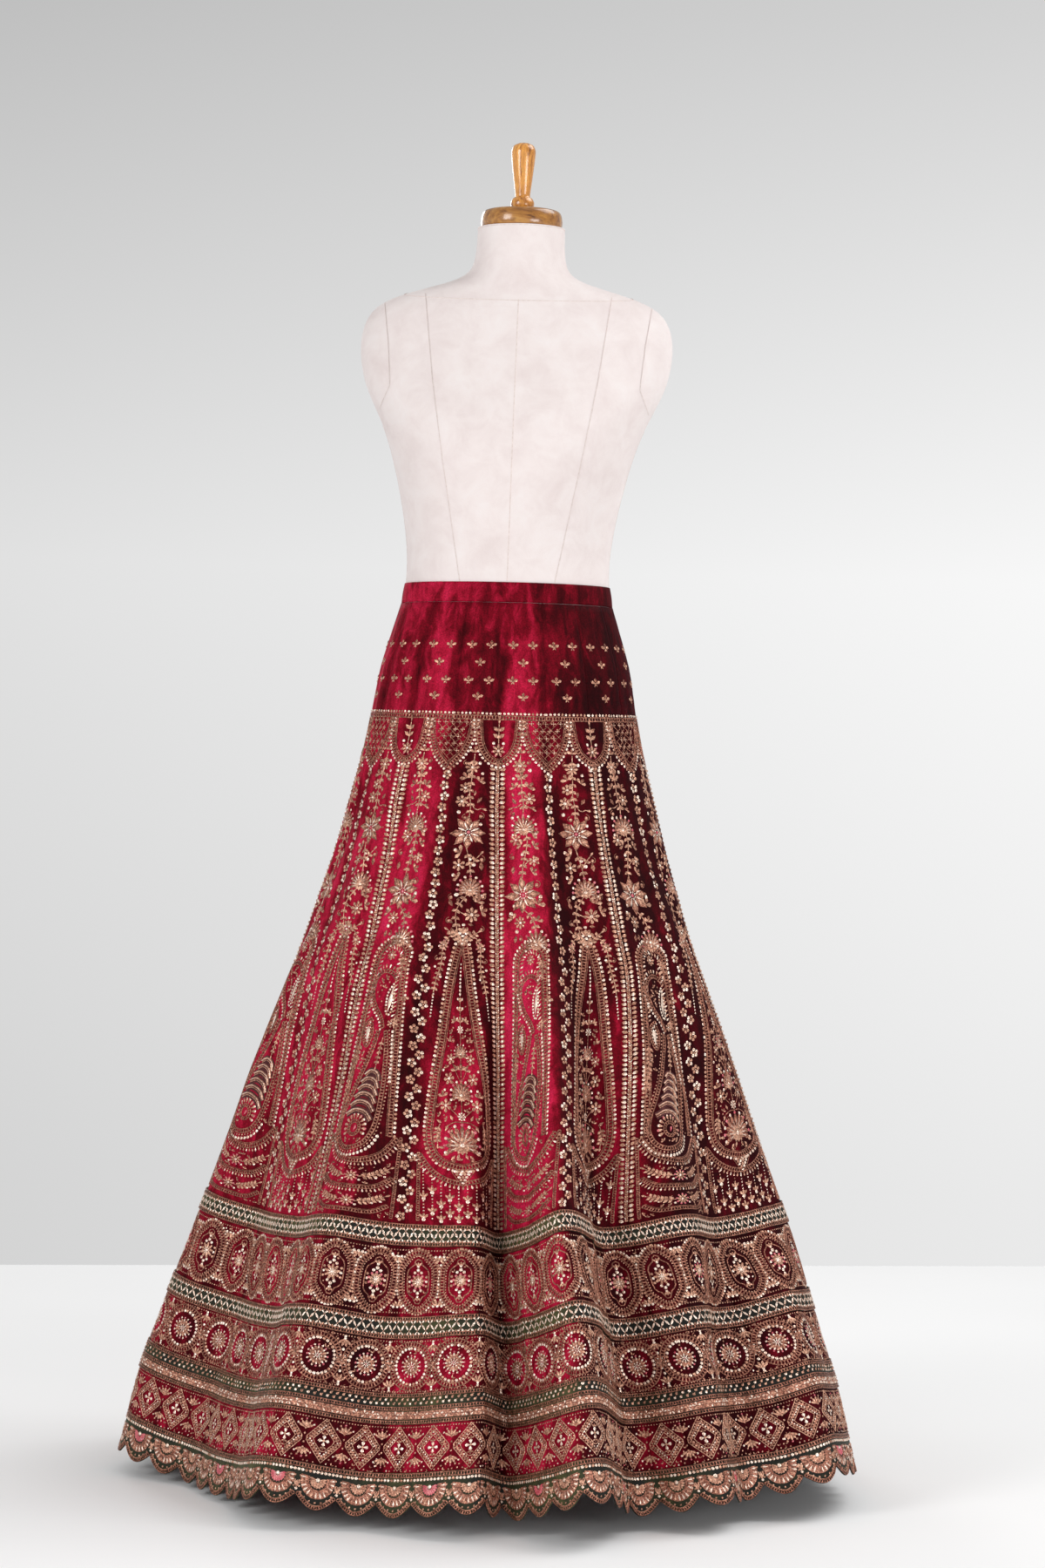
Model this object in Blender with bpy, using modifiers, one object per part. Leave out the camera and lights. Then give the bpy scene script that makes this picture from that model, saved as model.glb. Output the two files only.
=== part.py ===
"""A sixteen-panel lehenga skirt on a limbless dress form.

The skirt is a wall of cloth that hangs from a waistband. Every point of it is given by
two numbers: `seam`, how far round it lies, counted in panels from the centre-front seam
towards +X, and `drop`, how far down the cloth it lies below the waistband, in metres.
Metres, +Z up, the front faces -Y, and the origin is under the middle of the stand's base.
"""

import math

import bpy
import numpy as np

# ---------------------------------------------------------------- sizes of the skirt
KALI_COUNT = 16
SKIRT_LENGTH = 1.105
SKIRT_TOP_Z = 1.080
CLOTH_WALL = 0.0020
SEAM_GAP = 0.0003
KALI_COLUMNS = 8

# The green bands, by the drops of their upper and lower edges.
BAND_COLUMNS = ("name", "top", "bottom")
BANDS = (
    ("band_upper", 0.764, 0.790),
    ("band_middle", 0.873, 0.899),
    ("band_lower", 0.962, 0.998),
)
BAND_WALL = 0.0014
HEM_BORDER_TOP = 1.053
SCALLOPS_PER_KALI = 4
SCALLOP_POINTS = 4
SCALLOP_DEPTH = 0.015
# The rows of points down a panel: the gathered part, then the edges of the bands.
UPPER_ROWS = (0.0, 0.09, 0.18, 0.30, 0.45, 0.61)
BAND_ROWS = tuple(edge for band in BANDS for edge in band[1:])
PANEL_ROWS = UPPER_ROWS + BAND_ROWS + (HEM_BORDER_TOP, SKIRT_LENGTH)
KALI_ROW_COUNT = len(PANEL_ROWS) - 1

# Each row is one level of the skirt: its drop below the waistband, half its width, half
# its depth, and the angle of the centre-front seam, in degrees round from the front.
PROFILE_COLUMNS = ("drop", "half_width", "half_depth", "seam_angle")
PROFILE = (
    (0.000, 0.1312, 0.0965, -2.0),
    (0.080, 0.1545, 0.1130, -2.0),
    (0.150, 0.1665, 0.1230, -2.5),
    (0.185, 0.1730, 0.1290, -2.5),
    (0.250, 0.1890, 0.1400, -2.5),
    (0.320, 0.2060, 0.1540, -1.5),
    (0.420, 0.2370, 0.1810, -0.5),
    (0.550, 0.2820, 0.2270, 0.8),
    (0.680, 0.3240, 0.2750, 1.6),
    (0.760, 0.3510, 0.3070, 2.0),
    (0.930, 0.4060, 0.3700, 2.6),
    (1.020, 0.4330, 0.3990, 3.0),
    (1.105, 0.4530, 0.4260, 3.2),
)

# Each row is the crest or the trough of one fold: its angle round from the front and how
# far it stands out from the plain oval, at three levels of the skirt. A fold that has not
# opened yet has no rise.
FOLD_COLUMNS = ("high_angle", "high_rise", "band_angle", "band_rise", "low_angle", "low_rise")
FOLDS = (
    (-178.0, -0.002, -178.0, -0.006, -178.0, -0.010),
    (-160.0, 0.006, -160.0, 0.012, -161.0, 0.018),
    (-143.0, -0.008, -143.0, -0.024, -143.0, -0.034),
    (-124.0, 0.006, -124.0, 0.014, -124.0, 0.020),
    (-106.0, -0.002, -105.0, -0.006, -105.0, -0.010),
    (-88.0, 0.002, -88.0, 0.002, -88.0, 0.004),
    (-72.0, -0.006, -72.0, -0.054, -71.0, -0.070),
    (-50.0, -0.002, -52.0, -0.034, -56.0, -0.062),
    (-28.0, 0.011, -34.0, 0.006, -34.0, 0.010),
    (-12.0, -0.003, -21.0, -0.016, -21.0, -0.034),
    (-4.0, -0.011, -4.0, -0.022, -1.5, -0.004),
    (0.0, -0.013, 2.0, -0.072, 3.5, -0.058),
    (17.0, 0.014, 13.0, 0.046, 14.0, 0.056),
    (32.0, -0.012, 28.0, -0.040, 29.0, -0.056),
    (46.0, 0.004, 42.0, 0.012, 40.0, 0.004),
    (58.0, -0.002, 57.0, -0.018, 50.0, -0.038),
    (72.0, 0.004, 74.0, 0.010, 61.0, 0.028),
    (96.0, -0.004, 96.0, -0.010, 96.0, -0.016),
    (118.0, 0.006, 118.0, 0.012, 119.0, 0.016),
    (138.0, -0.008, 138.0, -0.022, 139.0, -0.034),
    (158.0, 0.006, 158.0, 0.012, 158.0, 0.018),
)
FOLD_STAGES = ("high", "band", "low")
FOLD_DROPS = (0.45, 0.76, 0.93)
FOLDS_OPEN_FROM = 0.17

LEVEL_STEP = 0.0085
ROUND_STEPS = 1440
SEAM_STEPS = 16


def column(table, names, name):
    """One named column of a table, as an array."""
    return np.array([row[names.index(name)] for row in table])


def at_drop(drop, measure):
    """A measure of every fold, its angle or its rise, at one level of the skirt."""
    stages = np.array([column(FOLDS, FOLD_COLUMNS, f"{stage}_{measure}") for stage in FOLD_STAGES])
    return np.array([np.interp(drop, FOLD_DROPS, stages[:, fold]) for fold in range(len(FOLDS))])


def fold_rise(angle, drop):
    """How far the folds stand out from the oval at each angle, in degrees, on one level."""
    opened = np.clip((drop - FOLDS_OPEN_FROM) / (FOLD_DROPS[0] - FOLDS_OPEN_FROM), 0.0, 1.0)
    angles = at_drop(drop, "angle")
    rises = at_drop(drop, "rise") * opened
    angles = np.append(angles, angles[0] + 360.0)
    rises = np.append(rises, rises[0])
    wrapped = (angle - angles[0]) % 360.0 + angles[0]
    before = np.clip(np.searchsorted(angles, wrapped, side="right") - 1, 0, len(angles) - 2)
    share = (wrapped - angles[before]) / (angles[before + 1] - angles[before])
    smooth = share * share * (3.0 - 2.0 * share)
    return rises[before] * (1.0 - smooth) + rises[before + 1] * smooth


def level_ring(drop):
    """The plan of one level: x and y at every seam step, equally spaced along the cloth."""
    drops = column(PROFILE, PROFILE_COLUMNS, "drop")
    half_width = np.interp(drop, drops, column(PROFILE, PROFILE_COLUMNS, "half_width"))
    half_depth = np.interp(drop, drops, column(PROFILE, PROFILE_COLUMNS, "half_depth"))
    seam_angle = np.interp(drop, drops, column(PROFILE, PROFILE_COLUMNS, "seam_angle"))
    angle = seam_angle + np.linspace(0.0, 360.0, ROUND_STEPS + 1)
    turn = np.radians(angle)
    oval = half_width * half_depth / np.hypot(half_depth * np.sin(turn), half_width * np.cos(turn))
    radius = oval + fold_rise(angle, drop)
    x = radius * np.sin(turn)
    y = -radius * np.cos(turn)
    along = np.concatenate(([0.0], np.cumsum(np.hypot(np.diff(x), np.diff(y)))))
    wanted = np.linspace(0.0, along[-1], KALI_COUNT * SEAM_STEPS + 1)
    return np.interp(wanted, along, x), np.interp(wanted, along, y)


def skirt_grid():
    """Points of the skirt's outer face: an array [level, seam step, xyz].

    Each thread that runs down the cloth keeps its length, so the cloth on the crest of a
    fold, which swings further out, hangs a little higher than the cloth in a trough.
    """
    levels = int(round(SKIRT_LENGTH / LEVEL_STEP)) + 1
    grid = np.zeros((levels, KALI_COUNT * SEAM_STEPS + 1, 3))
    for level in range(levels):
        grid[level, :, 0], grid[level, :, 1] = level_ring(level * LEVEL_STEP)
    grid[0, :, 2] = SKIRT_TOP_Z
    for level in range(1, levels):
        outward = np.hypot(
            grid[level, :, 0] - grid[level - 1, :, 0],
            grid[level, :, 1] - grid[level - 1, :, 1],
        )
        grid[level, :, 2] = grid[level - 1, :, 2] - np.sqrt(LEVEL_STEP**2 - outward**2)
    return grid


GRID = skirt_grid()


def blended(grid, seam, drop):
    """Reads a grid between its points, at any seam and drop."""
    steps = KALI_COUNT * SEAM_STEPS
    across = (np.asarray(seam, float) * SEAM_STEPS) % steps
    down = np.clip(np.asarray(drop, float) / LEVEL_STEP, 0.0, len(grid) - 1.001)
    left = across.astype(int)
    above = down.astype(int)
    side = (across - left)[..., None]
    below = (down - above)[..., None]
    upper = grid[above, left] * (1.0 - side) + grid[above, left + 1] * side
    lower = grid[above + 1, left] * (1.0 - side) + grid[above + 1, left + 1] * side
    return upper * (1.0 - below) + lower * below


# ---------------------------------------------------------------- cloth between two faces
def unit(vectors):
    """Vectors of length one, or of length nothing where there was none."""
    length = np.linalg.norm(vectors, axis=-1, keepdims=True)
    return vectors / np.maximum(length, 1e-12)


def panel_points():
    """The corners of the panels' flat facets, and which way is out at each: [row, column, xyz]."""
    columns = KALI_COUNT * KALI_COLUMNS
    seams = np.arange(columns) / KALI_COLUMNS
    points = np.array([blended(GRID, seams, np.full(columns, drop)) for drop in PANEL_ROWS])
    ahead = unit(np.roll(points, -1, axis=1) - points)
    behind = unit(points - np.roll(points, 1, axis=1))
    across = unit(ahead + behind)
    down = unit(np.gradient(points, np.array(PANEL_ROWS), axis=0))
    out = unit(np.cross(down, across))
    bend = np.sqrt(np.clip((1.0 + np.sum(ahead * behind, axis=-1)) / 2.0, 0.4, 1.0))
    return points, out / bend[..., None]


PANEL_POINTS, PANEL_OUT = panel_points()
PANEL_ALONG = unit(np.roll(PANEL_POINTS, -1, axis=1) - np.roll(PANEL_POINTS, 1, axis=1))


def strip(near, far, flipped):
    """Triangles between two lines of point numbers, all cut along the same diagonal."""
    faces = []
    for step in range(len(near) - 1):
        faces.append((near[step], far[step], far[step + 1]))
        faces.append((near[step], far[step + 1], near[step + 1]))
    return [face[::-1] for face in faces] if flipped else faces


def closed_wall(name, outer, inner, wraps, colour, roughness):
    """A solid between two grids of points [row, column], as one object."""
    rows, columns = outer.shape[:2]
    points = np.concatenate((outer.reshape(-1, 3), inner.reshape(-1, 3)))
    front = np.arange(rows * columns).reshape(rows, columns)
    if wraps:
        front = np.concatenate((front, front[:, :1]), axis=1)
    back = front + rows * columns
    faces = []
    for row in range(rows - 1):
        faces += strip(front[row], front[row + 1], False)
        faces += strip(back[row], back[row + 1], True)
    faces += strip(front[0], back[0], True)
    faces += strip(front[-1], back[-1], False)
    if not wraps:
        faces += strip(front[:, 0], back[:, 0], False)
        faces += strip(front[:, -1], back[:, -1], True)
    return mesh_object(name, points, [tuple(map(int, face)) for face in faces], colour, roughness)


def mesh_object(name, points, faces, colour, roughness, metallic=0.0):
    """An object from points and faces, in the part's collection, with its own material."""
    mesh = bpy.data.meshes.new(name)
    mesh.from_pydata([tuple(map(float, point)) for point in points], [], faces)
    mesh.update()
    obj = bpy.data.objects.new(name, mesh)
    part_collection().objects.link(obj)
    mesh.materials.append(material(name, colour, roughness, metallic))
    mesh.shade_smooth()
    mesh.set_sharp_from_angle(angle=math.radians(50.0))
    return obj


def material(name, colour, roughness, metallic):
    """A Principled material of one colour."""
    made = bpy.data.materials.new(name)
    made.use_nodes = True
    shader = made.node_tree.nodes["Principled BSDF"]
    shader.inputs["Base Color"].default_value = (*colour, 1.0)
    shader.inputs["Roughness"].default_value = roughness
    shader.inputs["Metallic"].default_value = metallic
    return made


def part_collection():
    """The collection that holds every solid of the object."""
    name = "lehenga_skirt"
    if name not in bpy.data.collections:
        bpy.context.scene.collection.children.link(bpy.data.collections.new(name))
    return bpy.data.collections[name]


# ---------------------------------------------------------------- the skirt's own pieces
VELVET = (0.36, 0.012, 0.055)
GREEN = (0.055, 0.060, 0.022)


def make_kali(number):
    """One gored panel from the waistband to the border; its edges stop just short of the seams."""
    first = number * KALI_COLUMNS
    wanted = [(first + step) % PANEL_POINTS.shape[1] for step in range(KALI_COLUMNS + 1)]
    outer = PANEL_POINTS[:KALI_ROW_COUNT, wanted].copy()
    along = PANEL_ALONG[:KALI_ROW_COUNT, wanted]
    out = PANEL_OUT[:KALI_ROW_COUNT, wanted]
    outer[:, 0] += 0.5 * SEAM_GAP * along[:, 0]
    outer[:, -1] -= 0.5 * SEAM_GAP * along[:, -1]
    outer[-1] += SEAM_GAP * unit(outer[-2] - outer[-1])
    name = f"kali_{number + 1:02d}"
    closed_wall(name, outer, outer - CLOTH_WALL * out, False, VELVET, 0.8)


def make_band(name, top, bottom):
    """A green band sewn on all round, just outside the panels."""
    rows = [PANEL_ROWS.index(top), PANEL_ROWS.index(bottom)]
    inner = PANEL_POINTS[rows] + SEAM_GAP * PANEL_OUT[rows]
    closed_wall(name, inner + BAND_WALL * PANEL_OUT[rows], inner, True, GREEN, 0.7)


def scallop_drop(seam):
    """The hem's lower edge: round scallops that meet in notches."""
    along = (seam * SCALLOPS_PER_KALI) % 1.0
    return SKIRT_LENGTH - SCALLOP_DEPTH * (1.0 - math.sin(math.pi * along))


def between_columns(row, seam):
    """A point on the flat facets of one row of the panels, at any seam."""
    position = seam * KALI_COLUMNS
    left = int(math.floor(position + 1e-9))
    side = max(position - left, 0.0)
    columns = len(row)
    return row[left % columns] * (1.0 - side) + row[(left + 1) % columns] * side


def make_hem_border():
    """The green border below the panels, with its scalloped lower edge."""
    columns = KALI_COUNT * SCALLOPS_PER_KALI * SCALLOP_POINTS
    outer = np.zeros((2, columns, 3))
    out = np.zeros((2, columns, 3))
    for step in range(columns):
        seam = step / (SCALLOPS_PER_KALI * SCALLOP_POINTS)
        down = (scallop_drop(seam) - HEM_BORDER_TOP) / (SKIRT_LENGTH - HEM_BORDER_TOP)
        for line, share in enumerate((0.0, down)):
            for target, grid in ((outer, PANEL_POINTS), (out, PANEL_OUT)):
                top = between_columns(grid[-2], seam)
                hem = between_columns(grid[-1], seam)
                target[line, step] = top * (1.0 - share) + hem * share
    closed_wall("hem_border", outer, outer - CLOTH_WALL * out, True, GREEN, 0.7)


# ---------------------------------------------------------------- the dress form
FORM_COLUMNS_ROUND = 36
# Each row is one level of the form: its height, half its width, its depth in front of and
# behind the middle, how far the middle is moved back, and how square its outline is.
FORM_COLUMNS = ("height", "half_width", "front", "back", "moved_back", "square")
FORM = (
    (0.800, 0.1500, 0.1120, 0.1150, 0.000, 2.0),
    (0.812, 0.1620, 0.1210, 0.1220, 0.000, 2.0),
    (0.850, 0.1690, 0.1240, 0.1260, 0.000, 2.0),
    (0.900, 0.1660, 0.1210, 0.1230, 0.000, 2.0),
    (0.950, 0.1565, 0.1130, 0.1140, 0.000, 2.0),
    (1.000, 0.1470, 0.1050, 0.1060, 0.000, 2.0),
    (1.0804, 0.1285, 0.0940, 0.0940, 0.000, 2.0),
    (1.1050, 0.1250, 0.0915, 0.0915, 0.000, 2.0),
    (1.140, 0.1240, 0.0930, 0.0900, 0.000, 2.0),
    (1.190, 0.1310, 0.1050, 0.0930, 0.000, 2.0),
    (1.240, 0.1420, 0.1220, 0.0970, 0.000, 2.1),
    (1.290, 0.1560, 0.1240, 0.1010, 0.000, 2.2),
    (1.325, 0.1740, 0.1120, 0.1020, 0.002, 2.3),
    (1.355, 0.1880, 0.0980, 0.1000, 0.004, 2.3),
    (1.390, 0.1945, 0.0840, 0.0950, 0.006, 2.2),
    (1.420, 0.1930, 0.0730, 0.0880, 0.008, 2.1),
    (1.445, 0.1820, 0.0640, 0.0780, 0.010, 2.0),
    (1.460, 0.1580, 0.0580, 0.0680, 0.012, 2.0),
    (1.472, 0.1180, 0.0540, 0.0600, 0.012, 2.0),
    (1.482, 0.0800, 0.0520, 0.0550, 0.012, 2.0),
    (1.495, 0.0580, 0.0510, 0.0520, 0.011, 2.0),
    (1.520, 0.0545, 0.0500, 0.0500, 0.009, 2.0),
    (1.549, 0.0540, 0.0495, 0.0495, 0.008, 2.0),
)
# Above the waist the form leans a little towards +X, up to the knob.
LEAN_FROM = 1.110
LEAN_TO = 1.656
LEAN = 0.009

CAP_RADIUS = 0.0508
CAP_LOW = 1.5493
CAP_HEIGHT = 0.0220
CAP_MOVED_BACK = 0.008
# The knob's turned outline, from its crown down its outer side: radius and height above the cap.
KNOB_OUTLINE = (
    (0.0000, 0.0840),
    (0.0070, 0.0834),
    (0.0122, 0.0805),
    (0.0148, 0.0750),
    (0.0150, 0.0690),
    (0.0138, 0.0560),
    (0.0115, 0.0370),
    (0.0097, 0.0230),
    (0.0095, 0.0165),
    (0.0125, 0.0145),
    (0.0145, 0.0105),
    (0.0145, 0.0055),
    (0.0130, 0.0020),
    (0.0120, 0.0000),
    (0.0000, 0.0000),
)
KNOB_SIDES = 20
POLE_RADIUS = 0.0125
BASE_RADIUS = 0.150
BASE_HEIGHT = 0.022
COVER = (0.80, 0.71, 0.68)
WOOD = (0.42, 0.19, 0.045)
STEEL = (0.55, 0.55, 0.56)
WAISTBAND_LOW = 1.0804
WAISTBAND_HIGH = 1.1050


def lean_at(height):
    """How far towards +X the middle of the form lies at a height."""
    return float(np.interp(height, (LEAN_FROM, LEAN_TO), (0.0, LEAN)))


def form_ring(height, outward=0.0):
    """The points round the form at one height, moved out from it if asked."""
    heights = column(FORM, FORM_COLUMNS, "height")
    read = {name: float(np.interp(height, heights, column(FORM, FORM_COLUMNS, name)))
            for name in FORM_COLUMNS}
    ring = []
    for step in range(FORM_COLUMNS_ROUND):
        turn = 2.0 * math.pi * step / FORM_COLUMNS_ROUND
        side = math.sin(turn)
        ahead = -math.cos(turn)
        power = 2.0 / read["square"]
        x = math.copysign(abs(side) ** power, side) * (read["half_width"] + outward)
        reach = (read["front"] if ahead < 0.0 else read["back"]) + outward
        y = math.copysign(abs(ahead) ** power, ahead) * reach + read["moved_back"]
        ring.append((lean_at(height) + x, y, height))
    return np.array(ring)


def make_form_body():
    """The padded body of the form, from the hips to the neck, closed at both ends."""
    heights = column(FORM, FORM_COLUMNS, "height")
    rings = np.array([form_ring(height) for height in heights])
    points = rings.reshape(-1, 3)
    count = FORM_COLUMNS_ROUND
    faces = []
    for row in range(len(rings) - 1):
        for step in range(count):
            here = row * count + step
            beside = row * count + (step + 1) % count
            faces.append((here, beside, beside + count, here + count))
    last = (len(rings) - 1) * count
    faces.append(tuple(range(count))[::-1])
    faces.append(tuple(last + step for step in range(count)))
    mesh_object("form_body", points, faces, COVER, 0.85)


def make_waistband():
    """A plain band round the waist of the form, from which the panels hang."""
    inner = np.array([form_ring(z, SEAM_GAP) for z in (WAISTBAND_HIGH, WAISTBAND_LOW)])
    outer = np.array(
        [form_ring(z, SEAM_GAP + CLOTH_WALL) for z in (WAISTBAND_HIGH, WAISTBAND_LOW)]
    )
    closed_wall("waistband", outer, inner, True, VELVET, 0.8)


# ---------------------------------------------------------------- the form's hard pieces
def finish_solid(obj, name, colour, roughness, metallic):
    """Names a solid, puts it in the part's collection and gives it its material."""
    obj.name = name
    obj.data.name = name
    for holder in obj.users_collection:
        holder.objects.unlink(obj)
    part_collection().objects.link(obj)
    obj.data.materials.append(material(name, colour, roughness, metallic))
    obj.data.shade_smooth()
    obj.data.set_sharp_from_angle(angle=math.radians(40.0))


def make_cylinder(name, radius, low, high, centre, sides, edge, look):
    """An upright cylinder with its rims rounded over."""
    bpy.ops.mesh.primitive_cylinder_add(
        vertices=sides,
        radius=radius,
        depth=high - low,
        location=(centre[0], centre[1], 0.5 * (low + high)),
    )
    obj = bpy.context.object
    finish_solid(obj, name, *look)
    if edge > 0.0:
        rounding = obj.modifiers.new("rounded rims", "BEVEL")
        rounding.width = edge
        rounding.segments = 2
        rounding.angle_limit = math.radians(50.0)
    return obj


def make_knob():
    """The turned wooden knob on the cap."""
    base_z = CAP_LOW + CAP_HEIGHT + SEAM_GAP
    outline = bpy.data.meshes.new("form_knob")
    points = [(radius, 0.0, height) for radius, height in KNOB_OUTLINE]
    edges = [(step, step + 1) for step in range(len(points) - 1)]
    outline.from_pydata(points, edges, [])
    knob = bpy.data.objects.new("form_knob", outline)
    bpy.context.scene.collection.objects.link(knob)
    knob.location = (lean_at(base_z), CAP_MOVED_BACK, base_z)
    turning = knob.modifiers.new("turned", "SCREW")
    turning.steps = KNOB_SIDES
    turning.render_steps = KNOB_SIDES
    turning.use_merge_vertices = True
    turning.merge_threshold = 0.00005
    finish_solid(knob, "form_knob", WOOD, 0.35, 0.0)


def make_stand():
    """The cap on the neck, and the plain pole and round base that carry the form."""
    cap_centre = (lean_at(CAP_LOW), CAP_MOVED_BACK)
    wood = (WOOD, 0.35, 0.0)
    steel = (STEEL, 0.3, 1.0)
    form_low = FORM[0][0]
    make_cylinder("form_cap", CAP_RADIUS, CAP_LOW, CAP_LOW + CAP_HEIGHT, cap_centre, 40, 0.004, wood)
    pole_low = BASE_HEIGHT + SEAM_GAP
    make_cylinder("stand_pole", POLE_RADIUS, pole_low, form_low - SEAM_GAP, (0.0, 0.0), 20, 0.0, steel)
    make_cylinder("stand_base", BASE_RADIUS, 0.0, BASE_HEIGHT, (0.0, 0.0), 40, 0.004, steel)


def main():
    for obj in list(bpy.data.objects):
        bpy.data.objects.remove(obj)
    for number in range(KALI_COUNT):
        make_kali(number)
    for name, top, bottom in BANDS:
        make_band(name, top, bottom)
    make_hem_border()
    make_waistband()
    make_form_body()
    make_knob()
    make_stand()


main()
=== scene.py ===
"""The dressed scene: a sixteen-panel velvet lehenga skirt with metal-thread embroidery, on a
limbless dress form. Lengths are in metres; the flat embroidery layouts are in millimetres."""

import math

import bpy
import numpy as np
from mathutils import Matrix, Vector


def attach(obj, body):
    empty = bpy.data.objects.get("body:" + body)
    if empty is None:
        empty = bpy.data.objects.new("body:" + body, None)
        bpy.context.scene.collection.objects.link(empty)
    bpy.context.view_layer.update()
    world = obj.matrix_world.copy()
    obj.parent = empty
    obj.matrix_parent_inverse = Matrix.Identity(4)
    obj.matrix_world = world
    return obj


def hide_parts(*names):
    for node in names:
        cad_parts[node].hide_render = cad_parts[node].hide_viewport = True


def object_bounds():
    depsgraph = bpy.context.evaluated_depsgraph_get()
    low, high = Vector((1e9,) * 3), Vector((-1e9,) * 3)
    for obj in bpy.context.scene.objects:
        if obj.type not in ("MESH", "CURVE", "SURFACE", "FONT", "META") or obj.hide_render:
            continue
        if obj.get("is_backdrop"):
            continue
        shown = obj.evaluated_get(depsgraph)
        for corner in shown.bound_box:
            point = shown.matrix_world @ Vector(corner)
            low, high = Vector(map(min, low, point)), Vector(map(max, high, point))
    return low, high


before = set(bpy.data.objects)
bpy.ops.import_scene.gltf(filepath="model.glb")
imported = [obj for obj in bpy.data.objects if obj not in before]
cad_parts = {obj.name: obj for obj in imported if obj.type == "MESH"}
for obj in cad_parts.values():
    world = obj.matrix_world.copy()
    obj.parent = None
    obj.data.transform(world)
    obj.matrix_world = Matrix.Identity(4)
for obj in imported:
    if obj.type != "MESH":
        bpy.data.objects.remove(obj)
CAD_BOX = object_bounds()

# ---- the skirt's surface, as in the solids
KALI_COUNT = 16
SKIRT_LENGTH = 1.105
SKIRT_TOP_Z = 1.08
HEM_BORDER_TOP = 1.053
SCALLOPS_PER_KALI = 4
SCALLOP_DEPTH = 0.015
# Drop, half width, half depth, and the angle at which the first seam stands.
PROFILE = (
    (0, 0.1312, 0.0965, -2), (0.08, 0.1545, 0.113, -2), (0.15, 0.1665, 0.123, -2.5),
    (0.185, 0.173, 0.129, -2.5), (0.25, 0.189, 0.14, -2.5), (0.32, 0.206, 0.154, -1.5),
    (0.42, 0.237, 0.181, -0.5), (0.55, 0.282, 0.227, 0.8), (0.68, 0.324, 0.275, 1.6),
    (0.76, 0.351, 0.307, 2), (0.93, 0.406, 0.37, 2.6), (1.02, 0.433, 0.399, 3), (1.105, 0.453, 0.426, 3.2),
)
# The angle and the rise of each fold, in or out, at each of FOLD_DROPS.
FOLDS = (
    (-178, -0.002, -178, -0.006, -178, -0.01), (-160, 0.006, -160, 0.012, -161, 0.018),
    (-143, -0.008, -143, -0.024, -143, -0.034), (-124, 0.006, -124, 0.014, -124, 0.02),
    (-106, -0.002, -105, -0.006, -105, -0.01), (-88, 0.002, -88, 0.002, -88, 0.004),
    (-72, -0.006, -72, -0.054, -71, -0.07), (-50, -0.002, -52, -0.034, -56, -0.062),
    (-28, 0.011, -34, 0.006, -34, 0.01), (-12, -0.003, -21, -0.016, -21, -0.034),
    (-4, -0.011, -4, -0.022, -1.5, -0.004), (0, -0.013, 2, -0.072, 3.5, -0.058),
    (17, 0.014, 13, 0.046, 14, 0.056), (32, -0.012, 28, -0.04, 29, -0.056),
    (46, 0.004, 42, 0.012, 40, 0.004), (58, -0.002, 57, -0.018, 50, -0.038),
    (72, 0.004, 74, 0.01, 61, 0.028), (96, -0.004, 96, -0.01, 96, -0.016),
    (118, 0.006, 118, 0.012, 119, 0.016), (138, -0.008, 138, -0.022, 139, -0.034),
    (158, 0.006, 158, 0.012, 158, 0.018),
)
FOLD_DROPS = (0.45, 0.76, 0.93)
FOLDS_OPEN_FROM = 0.17
LEVEL_STEP = 0.0085
ROUND_STEPS = 1440
SEAM_STEPS = 20


def fold_rise(angle, drop):
    """How far the folds stand out from the oval at each angle, in degrees, on one level."""
    table = np.array(FOLDS)
    opened = np.clip((drop - FOLDS_OPEN_FROM) / (FOLD_DROPS[0] - FOLDS_OPEN_FROM), 0, 1)
    angles = np.array([np.interp(drop, FOLD_DROPS, row[0::2]) for row in table])
    rises = np.array([np.interp(drop, FOLD_DROPS, row[1::2]) for row in table]) * opened
    angles = np.append(angles, angles[0] + 360)
    rises = np.append(rises, rises[0])
    wrapped = (angle - angles[0]) % 360 + angles[0]
    before = np.clip(np.searchsorted(angles, wrapped, side="right") - 1, 0, len(angles) - 2)
    share = (wrapped - angles[before]) / (angles[before + 1] - angles[before])
    eased = share * share * (3 - 2 * share)
    return rises[before] * (1 - eased) + rises[before + 1] * eased


def level_ring(drop):
    """The plan of one level at every seam step, equally spaced along the cloth, and its girth."""
    table = np.array(PROFILE)
    half_width, half_depth, seam_angle = (np.interp(drop, table[:, 0], table[:, i]) for i in (1, 2, 3))
    angle = seam_angle + np.linspace(0, 360, ROUND_STEPS + 1)
    turn = np.radians(angle)
    oval = half_width * half_depth / np.hypot(half_depth * np.sin(turn), half_width * np.cos(turn))
    radius = oval + fold_rise(angle, drop)
    x, y = radius * np.sin(turn), -radius * np.cos(turn)
    along = np.concatenate(([0], np.cumsum(np.hypot(np.diff(x), np.diff(y)))))
    wanted = np.linspace(0, along[-1], KALI_COUNT * SEAM_STEPS + 1)[:-1]
    return np.stack((np.interp(wanted, along, x), np.interp(wanted, along, y)), axis=1), along[-1]


def unit(vectors):
    return vectors / np.maximum(np.linalg.norm(vectors, axis=-1, keepdims=True), 1e-12)


def outward(grid):
    """The smooth outward direction at each point of a grid that wraps round."""
    across = np.roll(grid, -1, axis=1) - np.roll(grid, 1, axis=1)
    down = np.gradient(grid, axis=0)
    return unit(np.cross(down, across))


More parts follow.
